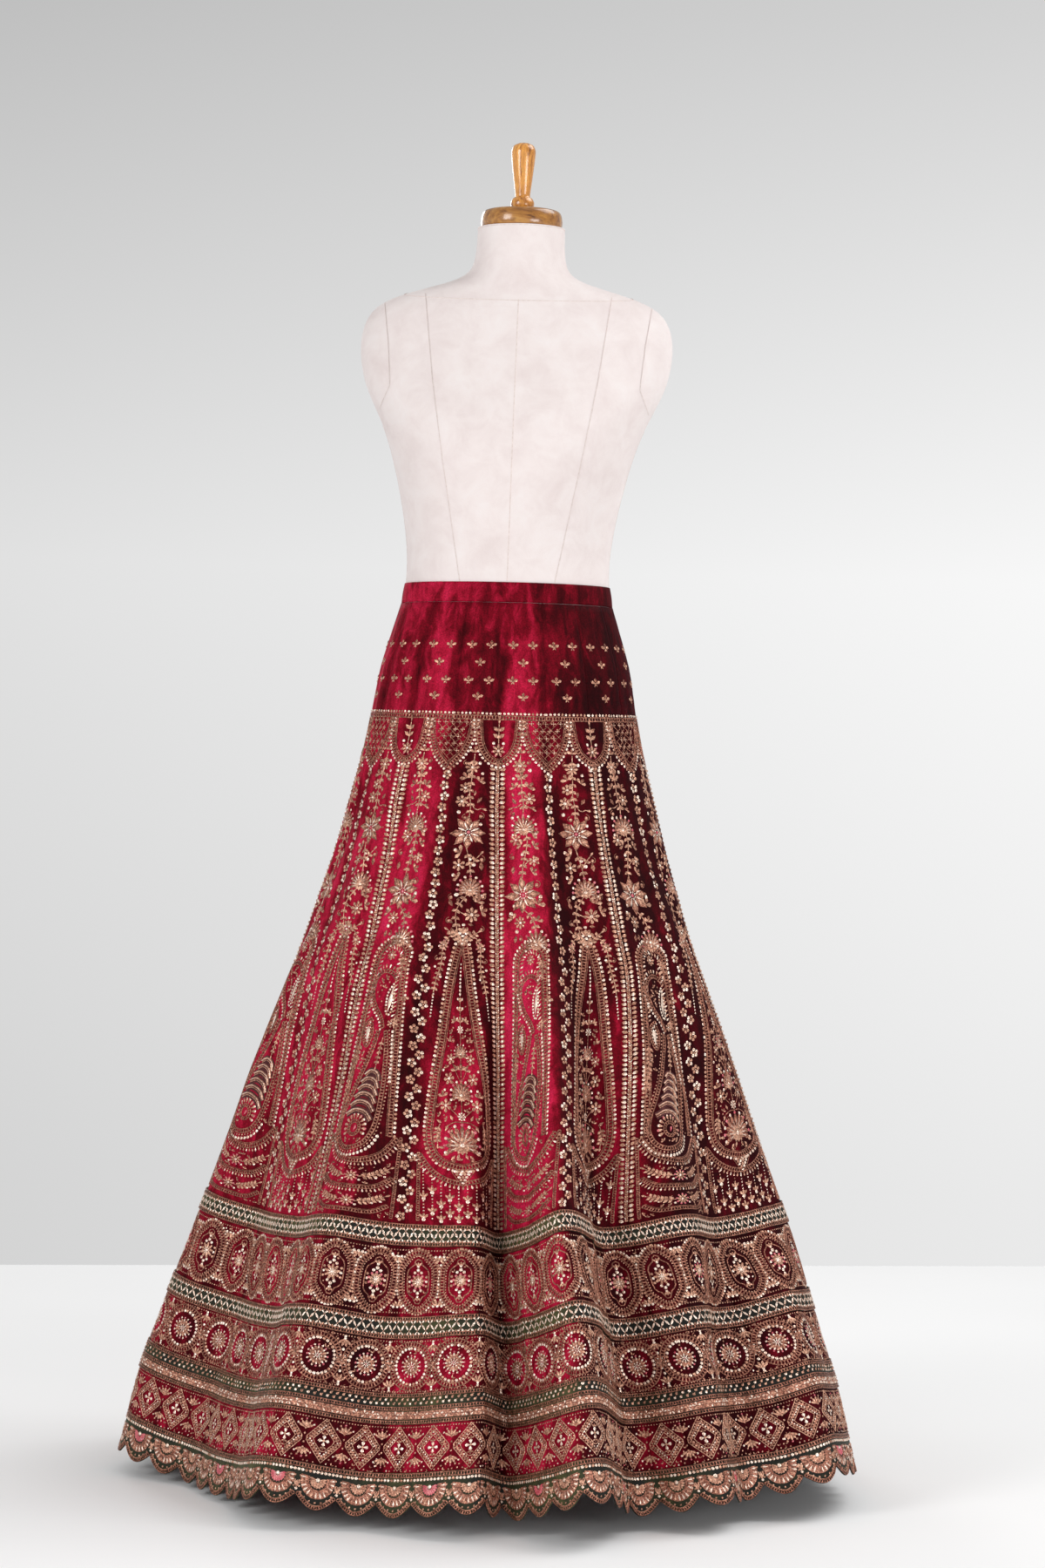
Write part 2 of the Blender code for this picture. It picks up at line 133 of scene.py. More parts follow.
LEVELS = int(round(SKIRT_LENGTH / LEVEL_STEP)) + 1
DROPS = np.arange(LEVELS) * LEVEL_STEP
RINGS = [level_ring(drop) for drop in DROPS]
GORE_WIDTH = np.array([girth for _, girth in RINGS]) / KALI_COUNT
GRID = np.zeros((LEVELS, KALI_COUNT * SEAM_STEPS, 3))
GRID[:, :, :2] = [ring for ring, _ in RINGS]
GRID[0, :, 2] = SKIRT_TOP_Z
for level in range(1, LEVELS):
    moved = np.hypot(*(GRID[level, :, :2] - GRID[level - 1, :, :2]).T)
    GRID[level, :, 2] = GRID[level - 1, :, 2] - np.sqrt(LEVEL_STEP**2 - moved**2)
for _ in range(3):  # softens the breaks between the levels of the tables
    GRID[1:-1] = 0.25 * GRID[:-2] + 0.5 * GRID[1:-1] + 0.25 * GRID[2:]

# Soft creases, listed one by one: the seam number and drop of the middle, half the length and
# half the width in metres, how far it stands out, and how far its lower end leans sideways.
CREASES = (
    (-3.4, 0.3, 0.11, 0.01, -0.0035, -0.03), (-2.6, 0.36, 0.13, 0.012, 0.004, -0.035),
    (-2.2, 0.47, 0.1, 0.01, -0.0045, -0.03), (-1.7, 0.27, 0.12, 0.009, -0.003, 0.02),
    (-1.4, 0.42, 0.09, 0.01, 0.0035, -0.022), (-0.8, 0.33, 0.12, 0.01, -0.003, -0.012),
    (-0.3, 0.22, 0.09, 0.008, 0.0028, 0.01), (-0.5, 0.66, 0.08, 0.014, 0.003, 0.018),
    (0.25, 0.3, 0.12, 0.009, -0.0034, 0.01), (0.62, 0.45, 0.11, 0.01, 0.0036, 0.014),
    (0.45, 0.7, 0.07, 0.009, -0.004, 0.01), (1.35, 0.3, 0.13, 0.01, -0.0032, 0.018),
    (1.7, 0.55, 0.1, 0.012, 0.0034, 0.026), (2.3, 0.35, 0.12, 0.01, -0.0034, 0.024),
    (2.7, 0.6, 0.09, 0.012, 0.0036, 0.03), (3.4, 0.4, 0.14, 0.013, -0.004, 0.03),
    (3.8, 0.72, 0.11, 0.015, 0.004, 0.034), (4.6, 0.33, 0.12, 0.011, -0.0034, 0.02),
    (5.2, 0.58, 0.13, 0.014, 0.0038, -0.016), (5.9, 0.8, 0.1, 0.014, -0.004, 0.022),
    (6.6, 0.36, 0.13, 0.01, 0.0034, 0.018), (7.3, 0.62, 0.12, 0.013, -0.004, -0.02),
    (8.1, 0.3, 0.11, 0.01, 0.0032, 0.014), (8.7, 0.76, 0.12, 0.015, 0.0038, -0.024),
    (9.4, 0.45, 0.13, 0.012, -0.0036, 0.018), (10.2, 0.66, 0.11, 0.013, 0.0036, 0.022),
    (10.8, 0.34, 0.12, 0.01, -0.0034, -0.02), (11.4, 0.55, 0.12, 0.012, 0.0038, -0.024),
    (12.3, 0.42, 0.11, 0.012, -0.0036, -0.028), (-3.1, 0.86, 0.07, 0.013, 0.0035, -0.02),
    (-2.45, 0.8, 0.08, 0.01, -0.004, -0.018), (-2.75, 0.97, 0.06, 0.01, -0.004, 0.01),
    (-1.15, 0.86, 0.07, 0.012, -0.003, 0.012), (-0.55, 0.93, 0.06, 0.015, 0.0028, -0.008),
    (0.35, 0.9, 0.09, 0.008, 0.004, 0.008), (0.75, 0.97, 0.07, 0.008, -0.004, 0.01),
    (1.45, 0.84, 0.07, 0.009, 0.0036, 0.012), (2.2, 0.9, 0.08, 0.009, -0.0036, 0.012),
    (2.9, 0.98, 0.07, 0.012, 0.0034, 0.01), (3.6, 0.93, 0.08, 0.013, -0.0036, 0.016),
)


def kalis_apart(seam, middle):
    """How many kalis lie between two places, the short way round."""
    half = KALI_COUNT / 2
    return (seam - middle + half) % KALI_COUNT - half


def from_seam(seam, width):
    """How far a place lies from the nearest seam."""
    return np.abs((seam + 0.5) % 1 - 0.5) * width


def crease_lift():
    """How far the creases, the seams' puckers and the cloth's softness move each grid point."""
    drop = DROPS[:, None]
    seam = (np.arange(KALI_COUNT * SEAM_STEPS) / SEAM_STEPS)[None, :]
    width = GORE_WIDTH[:, None]
    lift = np.zeros((LEVELS, KALI_COUNT * SEAM_STEPS))
    for middle, low, length, half, rise, lean in CREASES:
        aside = kalis_apart(seam, middle) * width - lean * (drop - low) / length
        lift += rise * np.exp(-((aside / half) ** 2) - ((drop - low) / length) ** 2)
    across = seam * width
    rng = np.random.default_rng(11)
    for _ in range(26):  # the slight unevenness of heavy velvet
        turns = rng.integers(7, 60)
        wave = rng.uniform(10, 34)
        around = np.sin(2 * np.pi * turns * seam / KALI_COUNT + rng.uniform(0, 6.3))
        lift += 0.00022 * around * np.sin(wave * drop + rng.uniform(0, 6.3) + 2 * np.sin(5 * across))
    to_seam = from_seam(seam, width)
    pucker = 0.55 + 0.45 * np.sin(drop * 330 + 2.2 * np.round(seam)) * np.sin(drop * 87 + np.round(seam))
    lift -= 0.0013 * pucker * np.exp(-((to_seam / 0.0045) ** 2))
    return lift * np.clip(drop / 0.12, 0, 1)


SKIRT = GRID + crease_lift()[..., None] * outward(GRID)
SKIRT_OUT = outward(SKIRT)


def blended(grid, seam, drop):
    """Reads a grid between its points, at any seam and drop."""
    steps = KALI_COUNT * SEAM_STEPS
    across = (np.asarray(seam, float) * SEAM_STEPS) % steps
    down = np.clip(np.asarray(drop, float) / LEVEL_STEP, 0, LEVELS - 1)
    left = np.floor(across).astype(int) % steps
    above = np.minimum(down.astype(int), LEVELS - 2)
    side = (across - np.floor(across))[..., None]
    below = (down - above)[..., None]
    right = (left + 1) % steps
    upper = grid[above, left] * (1 - side) + grid[above, right] * side
    lower = grid[above + 1, left] * (1 - side) + grid[above + 1, right] * side
    return upper * (1 - below) + lower * below


def on_cloth(seam, drop, lift):
    """Points in space at a seam number, a drop and a lift off the cloth's outer face."""
    return blended(SKIRT, seam, drop) + np.asarray(lift)[..., None] * unit(blended(SKIRT_OUT, seam, drop))


def gore_width(drop):
    return np.interp(drop, DROPS, GORE_WIDTH)


# ---- meshes and materials
def mesh_object(name, points, triangles, materials, looks=None):
    """An object in the scene from arrays of points and triangles, with a look for each triangle."""
    mesh = bpy.data.meshes.new(name)
    points = np.ascontiguousarray(points, np.float32)
    triangles = np.ascontiguousarray(triangles, np.int32)
    mesh.vertices.add(len(points))
    mesh.vertices.foreach_set("co", points.ravel())
    mesh.loops.add(triangles.size)
    mesh.loops.foreach_set("vertex_index", triangles.ravel())
    mesh.polygons.add(len(triangles))
    mesh.polygons.foreach_set("loop_start", np.arange(0, triangles.size, 3, dtype=np.int32))
    for made in materials:
        mesh.materials.append(made)
    if looks is not None:
        mesh.polygons.foreach_set("material_index", np.ascontiguousarray(looks, np.int32))
    mesh.update(calc_edges=True)
    mesh.shade_smooth()
    obj = bpy.data.objects.new(name, mesh)
    bpy.context.scene.collection.objects.link(obj)
    return obj


def fast_mesh(name, points, triangles, materials, looks=None):
    """A piece of the dressed part, which rides on its one body."""
    obj = mesh_object(name, points, triangles, materials, looks)
    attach(obj, "root")
    return obj


def strips(near, far):
    """Triangles between two rows, or two sets of rows, of point numbers."""
    first = np.stack((near[..., :-1], far[..., :-1], far[..., 1:]), -1).reshape(-1, 3)
    second = np.stack((near[..., :-1], far[..., 1:], near[..., 1:]), -1).reshape(-1, 3)
    return np.concatenate((first, second))


def wall_triangles(rows, columns, wraps):
    """Triangles of a closed wall between an outer and an inner grid, outer points first."""
    front = np.arange(rows * columns).reshape(rows, columns)
    if wraps:
        front = np.concatenate((front, front[:, :1]), axis=1)
    back = front + rows * columns
    parts = [strips(front[:-1], front[1:]), strips(back[:-1], back[1:])[:, ::-1]]
    parts += [strips(front[0], back[0])[:, ::-1], strips(front[-1], back[-1])]
    if not wraps:
        parts += [strips(front[:, 0], back[:, 0]), strips(front[:, -1], back[:, -1])[:, ::-1]]
    return np.concatenate(parts)


def ringed_solid(rings):
    """Points and triangles of a closed solid from its rings of points, crown first."""
    count, sides = rings.shape[:2]
    index = np.arange(count * sides).reshape(count, sides)
    index = np.concatenate((index, index[:, :1]), axis=1)
    points = np.concatenate((rings.reshape(-1, 3), [rings[0].mean(0)], [rings[-1].mean(0)]))
    crown, foot = np.full(sides, count * sides), np.full(sides, count * sides + 1)
    caps = [
        np.stack((crown, index[0, :-1], index[0, 1:]), 1),
        np.stack((foot, index[-1, 1:], index[-1, :-1]), 1),
    ]
    return points, np.concatenate([strips(index[:-1], index[1:])] + caps)


class Nodes:
    """Short hand for building the node tree of a material, or of the world."""

    def __init__(self, name, kind="materials", shader="Principled BSDF"):
        self.made = getattr(bpy.data, kind).new(name)
        self.made.use_nodes = True
        self.tree = self.made.node_tree
        self.shader = self.tree.nodes[shader]

    def add(self, kind, **sockets):
        node = self.tree.nodes.new(kind)
        for key, value in sockets.items():
            name = key.replace("_", " ")
            if name in node.inputs:
                if isinstance(value, bpy.types.NodeSocket):
                    self.tree.links.new(value, node.inputs[name])
                else:
                    node.inputs[name].default_value = value
            else:
                setattr(node, key, value)
        return node

    def link(self, source, target):
        self.tree.links.new(source, target)

    def coordinates(self, stretch=(1, 1, 1)):
        where = self.add("ShaderNodeTexCoord")
        mapping = self.add("ShaderNodeMapping", Vector=where.outputs["Object"])
        mapping.inputs["Scale"].default_value = stretch
        return mapping.outputs["Vector"]

    def noise(self, vector, scale, detail=3, roughness=0.55, distortion=0):
        sockets = {"Scale": scale, "Detail": detail, "Roughness": roughness, "Distortion": distortion}
        return self.add("ShaderNodeTexNoise", Vector=vector, **sockets).outputs["Fac"]

    def added(self, value, amount, base):
        """The base plus an amount of another value."""
        node = self.add("ShaderNodeMath", operation="MULTIPLY_ADD")
        self.link(value, node.inputs[0])
        node.inputs[1].default_value = amount
        self.link(base, node.inputs[2])
        return node.outputs[0]

    def ramp(self, factor, *stops):
        """A colour, or a level of grey, for each place along a factor."""
        node = self.add("ShaderNodeValToRGB", Fac=factor)
        elements = node.color_ramp.elements
        while len(elements) < len(stops):
            elements.new(0.5)
        for element, (position, colour) in zip(elements, stops):
            element.position = position
            element.color = (*(colour if isinstance(colour, tuple) else (colour,) * 3), 1)
        return node.outputs["Color"]

    def multiplied(self, first, second, factor=1):
        """A colour darkened by another one."""
        node = self.add("ShaderNodeMix", data_type="RGBA", blend_type="MULTIPLY")
        node.inputs[0].default_value = factor
        self.link(first, node.inputs[6])
        self.link(second, node.inputs[7])
        return node.outputs[2]

    def colour(self, source):
        self.link(source, self.shader.inputs["Base Color"])

    def roughness(self, source, low, high):
        """Roughness that follows a value, between two limits."""
        limits = self.add("ShaderNodeMapRange", Value=source, To_Min=low, To_Max=high)
        self.link(limits.outputs["Result"], self.shader.inputs["Roughness"])

    def bump(self, height, strength, distance):
        node = self.add("ShaderNodeBump", Height=height, Strength=strength, Distance=distance)
        self.link(node.outputs["Normal"], self.shader.inputs["Normal"])

    def set(self, **values):
        for key, value in values.items():
            self.shader.inputs[key.replace("_", " ")].default_value = value
        return self.made


# ---- embroidery, laid out flat in millimetres
# DEEP is dark thread, also laid as painted shadow under the mango's ribs.
CORD, LEAF, PEARL, STONE, DEEP = range(5)
HEX = [(math.sin(a), math.cos(a), 0) for a in np.radians(np.arange(0, 360, 60))]
KITE_FACES = np.array([(0, 4, 1), (1, 4, 2), (2, 4, 3), (3, 4, 0)])
PETAL_FACES = np.array([(i, 6, (i + 1) % 6) for i in range(6)])
# Each small shape is its corners, with its length along y and its height along z, and its triangles.
DOME = (np.array([(0, 0, 1)] + HEX), np.array([(0, (i + 1) % 6 + 1, i + 1) for i in range(6)]))
SPEAR = (np.array([(0, 0, 0.1), (-0.5, 0.42, 0), (0, 1, 0.1), (0.5, 0.42, 0), (0, 0.48, 1)]), KITE_FACES)
BUD = (np.array([(0, -1, 0), (-0.8, 0, 0), (0, 1, 0), (0.8, 0, 0), (0, 0, 1)]), KITE_FACES)
BAR = (
    np.array([(-0.5, -0.5, 1), (0.5, -0.5, 1), (0.5, 0.5, 1), (-0.5, 0.5, 1)]),
    np.array([(0, 1, 2), (0, 2, 3)]),
)


def petal_shape(narrow, narrow_at, wide, wide_at, tip, crest):
    """A petal from its half widths and where they lie, the height of its tip and where its crest is."""
    right = [(wide, wide_at, 0), (narrow, narrow_at, 0)]
    left = [(-x, y, z) for x, y, z in right[::-1]]
    return np.array([(0, 0, 0.1)] + left + [(0, 1, tip)] + right + [(0, crest, 1)]), PETAL_FACES


DROP = petal_shape(0.3, 0.36, 0.46, 0.72, 0, 0.66)
PETAL = petal_shape(0.34, 0.26, 0.5, 0.56, 0.1, 0.52)


def resample(path, step):
    """Points at even steps along a path, with the heading of each (0 is up, 90 is right)."""
    path = np.asarray(path, float)
    along = np.concatenate(([0], np.cumsum(np.hypot(*np.diff(path, axis=0).T))))
    count = max(int(round(along[-1] / step)), 1)
    wanted = np.linspace(0, along[-1], count + 1)
    points = np.stack([np.interp(wanted, along, path[:, i]) for i in (0, 1)], 1)
    way = np.gradient(points, axis=0)
    return points, np.arctan2(way[:, 0], way[:, 1])


def rounded(points, steps):
    """A curve that softens the corners of a path, through its points, with so many steps between them."""
    points = np.asarray(points, float)
    ends = np.concatenate(([2 * points[0] - points[1]], points, [2 * points[-1] - points[-2]]))
    t = np.linspace(0, 1, steps + 1)[:-1, None]
    pieces = []
    for a, b, c, d in zip(ends, ends[1:], ends[2:], ends[3:]):
        bend = (2 * a - 5 * b + 4 * c - d) * t**2
        pieces.append(0.5 * (2 * b + (c - a) * t + bend + (3 * b - a - 3 * c + d) * t**3))
    return np.concatenate(pieces + [points[-1:]])


def smooth(path, step=3):
    """A rounded curve through a few points, at even steps."""
    return resample(rounded(path, 8), step)[0]


def both_sides(half, step=3):
    """A closed rounded outline from the points of its right half."""
    return smooth(half + [(-x, y) for x, y in half[-2::-1]], step)


def shifted(path, distance):
    """A path moved sideways, to its right where the distance is above zero."""
    points = np.asarray(path, float)
    way = unit(np.gradient(points, axis=0))
    return points + distance * np.stack((way[:, 1], -way[:, 0]), 1)


def arc(x, y, across, tall, start, stop, count=24):
    """Part of an oval; angles run from straight up towards the right."""
    return np.stack(polar(x, y, np.linspace(start, stop, count), across, tall), 1)


def polar(x, y, angle, reach, tall=None):
    """Where a distance from x, y leads, towards an angle in degrees: 0 is up and 90 is right."""
    turn = np.radians(angle)
    return x + reach * np.sin(turn), y + (reach if tall is None else tall) * np.cos(turn)


def alternate(count, even, odd):
    """A look for each of a row of things, in turns."""
    return np.where(np.arange(count) % 2 == 0, even, odd)


def level_line(y):
    """A level line across the whole of a kali."""
    half = half_kali(y)
    return [(-half, y), (half, y)]


def half_kali(y, margin=0):
    """Half the width of a kali at a height, less a margin."""
    return 500 * gore_width(SKIRT_LENGTH - 0.001 * np.asarray(y, float)) - margin


# How much narrower threads and leaves are sewn than they are drawn.
THINNED = 0.9
CORD_FACES = np.array([(0, 1, 4), (0, 4, 3), (1, 2, 5), (1, 5, 4)])


class Stitching:
    """Gathers raised stitches, beads and cords. x is across from self.seam, y up from the hem tips."""

    def __init__(self, seed, seam):
        self.seams, self.drops, self.lifts, self.faces, self.looks, self.taken = [], [], [], [], [], []
        self.count = 0
        self.seam = seam
        self.base = 0.25
        self.rng = np.random.default_rng(seed)
        self.squeeze = self.settle = None

    def keep(self, x, y, lift, faces, looks):
        if self.squeeze is not None:
            x = x * self.squeeze(y)
        self.taken.append(np.stack((x.ravel(), y.ravel()), 1))
        lowered = y if self.settle is None else self.settle(y)
        drop = SKIRT_LENGTH - 0.001 * lowered.ravel()
        self.seams.append(self.seam + 0.001 * x.ravel() / gore_width(drop))
        self.drops.append(drop)
        self.lifts.append(0.001 * (self.base + lift.ravel()))
        self.faces.append(faces + self.count)
        self.looks.append(looks)
        self.count += x.size

    def put(self, shape, x, y, angle, length, width, height, look):
        """Copies of a small shape, one for each x and y, pointing along its angle."""
        corners, faces = shape
        x, y, angle, length, width, height, look = np.broadcast_arrays(
            *(np.atleast_1d(v) for v in (x, y, angle, length, width, height, look))
        )
        sine, cosine = np.sin(angle)[:, None], np.cos(angle)[:, None]
        sideways, ahead = corners[:, 0] * width[:, None], corners[:, 1] * length[:, None]
        all_faces = faces[None] + (len(corners) * np.arange(len(x)))[:, None, None]
        self.keep(
            x[:, None] + sideways * cosine + ahead * sine,
            y[:, None] - sideways * sine + ahead * cosine,
            corners[:, 2] * height[:, None],
            all_faces.reshape(-1, 3),
            np.repeat(look, len(faces)),
        )

    def mixed(self, count, share, look, other):
        """A look for each of a row of things: this share of them has the first look."""
        return np.where(self.rng.random(count) < share, look, other)

    def bead(self, x, y, radius=1.9, look=PEARL):
        x = np.atleast_1d(x).astype(float)
        turn = self.rng.uniform(0, 1, x.shape)
        shape = DOME if np.max(radius) > 1.55 else BUD
        height = 0.62 * radius * self.rng.uniform(0.8, 1.15, x.shape)
        self.put(shape, x, y, turn, radius, radius, height, look)

    def leaf(self, x, y, angle, length=6, width=3, look=LEAF, shape=SPEAR):
        self.put(shape, x, y, np.radians(angle), length, THINNED * np.asarray(width), 0.9, look)

    def petals(self, x, y, angle, length, width, look=LEAF):
        self.leaf(x, y, angle, length, width, look, DROP)

    def cord(self, path, width=1.2, look=CORD, height=0.75, step=4.5):
        points, _ = resample(path, step)
        half = 0.5 * THINNED * width
        line = np.stack((shifted(points, -half), points, shifted(points, half)), 1)
        lift = np.zeros(line.shape[:2])
        lift[:, 1] = height
        rows = np.arange(len(points) - 1)[:, None, None] * 3
        faces = (rows + CORD_FACES).reshape(-1, 3)
        self.keep(line[..., 0], line[..., 1], lift, faces, np.full(len(faces), look))

    def ladder(self, path, width=5, pitch=3.7, look=CORD, step=5):
        """Two thick cords joined by short rungs, which leave a row of small round holes."""
        path, _ = resample(path, 1.5)
        for side in (-0.5, 0.5):
            self.cord(shifted(path, side * width), 0.3 * width + 0.15, look, 1, step)
        points, way = resample(path, pitch)
        self.put(BAR, *points.T, way, 0.4 * pitch, width - 0.6, 0.6, look)

    def beads(self, path, pitch=5.4, radius=1.9, look=PEARL, dull=0.25):
        points, _ = resample(path, pitch)
        self.bead(*points.T, radius, self.mixed(len(points), dull, LEAF, look))

    def fringe(self, path, length=5, pitch=4.6, lean=90):
        """Short petals side by side along the right of a path, every third one bright."""
        points, way = resample(path, pitch)
        looks = np.where(np.arange(len(points)) % 3 == 1, PEARL, LEAF)
        self.petals(*points.T, np.degrees(way) + lean, length, 3, looks)

    def outlined(self, path, width, beads, cord, pitch=5, radius=1.8):
        """A ladder with beads along one side of it and a cord along the other."""
        self.ladder(path, width)
        self.beads(shifted(path, beads), pitch, radius)
        self.cord(shifted(path, cord), 0.9)

    def flower(self, x, y, radius, petals=8, look=LEAF, tip=None, turn=0, slim=1, heart=PEARL):
        angle = turn + 360 * np.arange(petals) / petals
        near = 0.18 * radius
        width = slim * min(2 * math.pi * 0.62 * radius / petals, 0.62 * radius)
        for x, y in zip(np.atleast_1d(x), np.atleast_1d(y)):
            self.petals(*polar(x, y, angle, near), angle, radius - near, width, look)
            if tip is not None:
                self.bead(*polar(x, y, angle, radius), 0.13 * radius + 0.5, tip)
            elif radius > 5 and look == LEAF:
                self.bead(*polar(x, y, angle, 0.72 * radius), 0.26 * width)
            self.bead(x, y, 0.2 * radius + 0.3, heart)

    def lotus(self, x, y, width, tall):
        """A lotus seen from the side: slim bright petals over a dull fan, with stones at the tips."""
        for count, reach, slim, look in ((11, 1, 0.15, CORD), (11, 0.9, 0.075, PEARL), (7, 0.48, 0.11, LEAF)):
            angle = np.linspace(-112, 112, count)
            size = reach * np.hypot(*polar(0, 0, angle, 0.5 * width, 0.74 * tall))
            self.petals(*polar(x, y, angle, 0.14 * size), angle, 0.86 * size, slim * width + 0.5, look)
            if reach == 1:
                self.bead(*polar(x, y, angle, size), 0.03 * width + 0.8, alternate(count, PEARL, STONE))
        self.petals(x, y, (-150, -125, 125, 150, 180), 0.34 * tall, 0.14 * width)
        self.bead(x, y, 0.06 * width + 0.4)

    def star(self, x, y, radius):
        """A large open flower: eight pointed petals, each with a lighter middle, and a beaded heart."""
        angle = np.arange(8) * 45 + self.rng.uniform(-8, 8, 8)
        reach = radius * self.rng.uniform(0.86, 1.04, 8)
        between = np.arange(8) * 45 + 22.5
        self.leaf(*polar(x, y, angle, 0.18 * radius), angle, 0.84 * reach, 0.44 * radius, CORD, PETAL)
        inner = polar(x, y, angle, 0.3 * radius)
        self.put(PETAL, *inner, np.radians(angle), 0.6 * reach, 0.27 * radius, 1.5, LEAF)
        self.bead(*polar(x, y, angle, 0.66 * reach), 0.08 * radius)
        self.leaf(*polar(x, y, between, 0.2 * radius), between, 0.42 * radius, 0.14 * radius, PEARL)
        self.bead(*polar(x, y, between, 0.17 * radius), 1.3)
        self.bead(x, y, 0.09 * radius, STONE)

    def floret(self, x, y, angle, size):
        """Three round petals on a short stalk, each with a bright bead, pointing along the angle."""
        x, y, angle = (np.atleast_1d(v) for v in np.broadcast_arrays(x, y, angle))
        for lean in (-64, 0, 64):
            self.leaf(x, y, angle + lean, size, 0.62 * size, LEAF if lean else CORD, DROP)
            self.bead(*polar(x, y, angle + lean, 0.62 * size), 0.17 * size, LEAF if lean else PEARL)

    def fill(self, inside, x, y, pitch, clear, size, florets=True):
        """Florets, or small beads and leaves, in the gaps of a region that has no stitches yet."""
        rows = np.arange(y[0], y[1], 0.87 * pitch)
        columns = np.arange(x[0], x[1], pitch)
        at = np.array([(c + 0.5 * pitch * (i % 2), r) for i, r in enumerate(rows) for c in columns])
        at = at + self.rng.uniform(-0.2, 0.2, at.shape) * pitch
        at = at[inside(at[:, 0], at[:, 1])]
        taken = np.concatenate(self.taken)
        near = np.array([np.min(np.sum((taken - point) ** 2, 1)) for point in at])
        at = at[near > clear * clear]
        kind = self.rng.integers(0, 10, len(at))
        angle = self.rng.uniform(-75, 75, len(at))
        often, seldom = at[kind < 6].T, at[kind >= 6].T
        if florets:
            angle = angle[kind < 6]
            self.floret(*polar(*often, angle, -0.3 * size), angle, size)
            self.bead(*seldom, 0.3 * size, LEAF)
            return
        self.bead(*often, 0.26 * size + 0.35, np.where(kind[kind < 6] < 2, PEARL, LEAF))
        angle = angle[kind >= 6]
        for lean, look in ((-38, LEAF), (38, CORD)):
            self.leaf(*polar(*seldom, angle, -0.45 * size), angle + lean, size, 0.5 * size, look)

    def curl(self, x, y, radius, side):
        """A tendril that winds in to a bead. side is 1 for clockwise."""
        t = np.linspace(0, 1, 9)
        size = radius * (1 - 0.72 * t)
        angle = side * t * 5.2
        middle = np.array((x, y - radius))
        self.cord(middle + np.stack((size * np.sin(angle), size * np.cos(angle)), 1), 0.95, step=1.7)
        self.bead(*middle, 0.42 * radius, LEAF)

    def trefoil(self, x, y, size, angle=0):
        self.floret(x, y, angle, 1.12 * size)

    def sprig(self, path, size=5, pitch=6.5):
        """A stem with leaves in pairs and a bud at its end."""
        self.cord(path, 1.3, LEAF)
        points, way = resample(path, pitch)
        way = np.degrees(way)
        for side in (-52, 52):
            self.leaf(*points[1:-1].T, way[1:-1] + side, 1.15 * size, 0.72 * size, LEAF, PETAL)
        self.petals(*points[-1], way[-1], 1.3 * size, 0.6 * size)

    def piece(self, name):
        seams, drops, lifts, faces, looks = map(
            np.concatenate, (self.seams, self.drops, self.lifts, self.faces, self.looks)
        )
        return fast_mesh(name, on_cloth(seams, drops, lifts), faces, THREADS, looks)


def sided(side, *values):
    """Places or angles to the right, or to the left where side is -1."""
    return side * np.array(values, float)


def curve(side, *points):
    """A rounded curve on the right, or on the left where side is -1."""
    return smooth(np.array(points, float) * (side, 1))


def hanging(*right):
    """A rounded curve through the points of its right half, from the middle out, and the same on the left."""
    return smooth([(-x, y) for x, y in right[:0:-1]] + list(right))


# ---- the columns along the seams
def wheat_column(st, low, high):
    """A braid up the seam, with a row of leaves on each side of it and a pearl on each leaf."""
    y = np.arange(low, high, 5.7)
    braid = np.arange(low, high, 2.85)
    st.cord([(0, low), (0, high)], 3.4, CORD, 0.3, step=12)
    for side in (-1, 1):
        st.leaf(side * 0.2, braid, side * 38, 3.4, 1.9, st.mixed(len(braid), 0.35, PEARL, LEAF))
        st.leaf(side * 2.4, y, side * 74, 7.4, 5, st.mixed(len(y), 0.3, CORD, LEAF), DROP)
        looks = st.mixed(len(y), 0.42, LEAF, PEARL)
        st.base += 0.6
        st.bead(0 * y + side * 5.6, y + 1, 2.15, looks)
        st.base -= 0.6


def flower_chain(st, low, high):
    """Small flowers of five round petals up a seam, singly at the top and in two rows lower down."""
    st.cord([(0, low), (0, high)], 0.8, DEEP, 0.4, step=12)
    y = np.concatenate((np.arange(low + 5, 640, 10.2), np.arange(649, high, 13.4)))
    aside = np.where(y < 645, 4.4, np.interp(y, (650, 760), (2.6, 0.8)))
    x = alternate(len(y), -1, 1) * aside
    turn = st.rng.uniform(0, 72, len(y))
    for petal in range(5):
        look = st.mixed(len(y), 0.6, LEAF, PEARL)
        st.bead(*polar(x, y, turn + 72 * petal, 3.8), 2.15, look)
    st.bead(x, y, 1.2, LEAF)


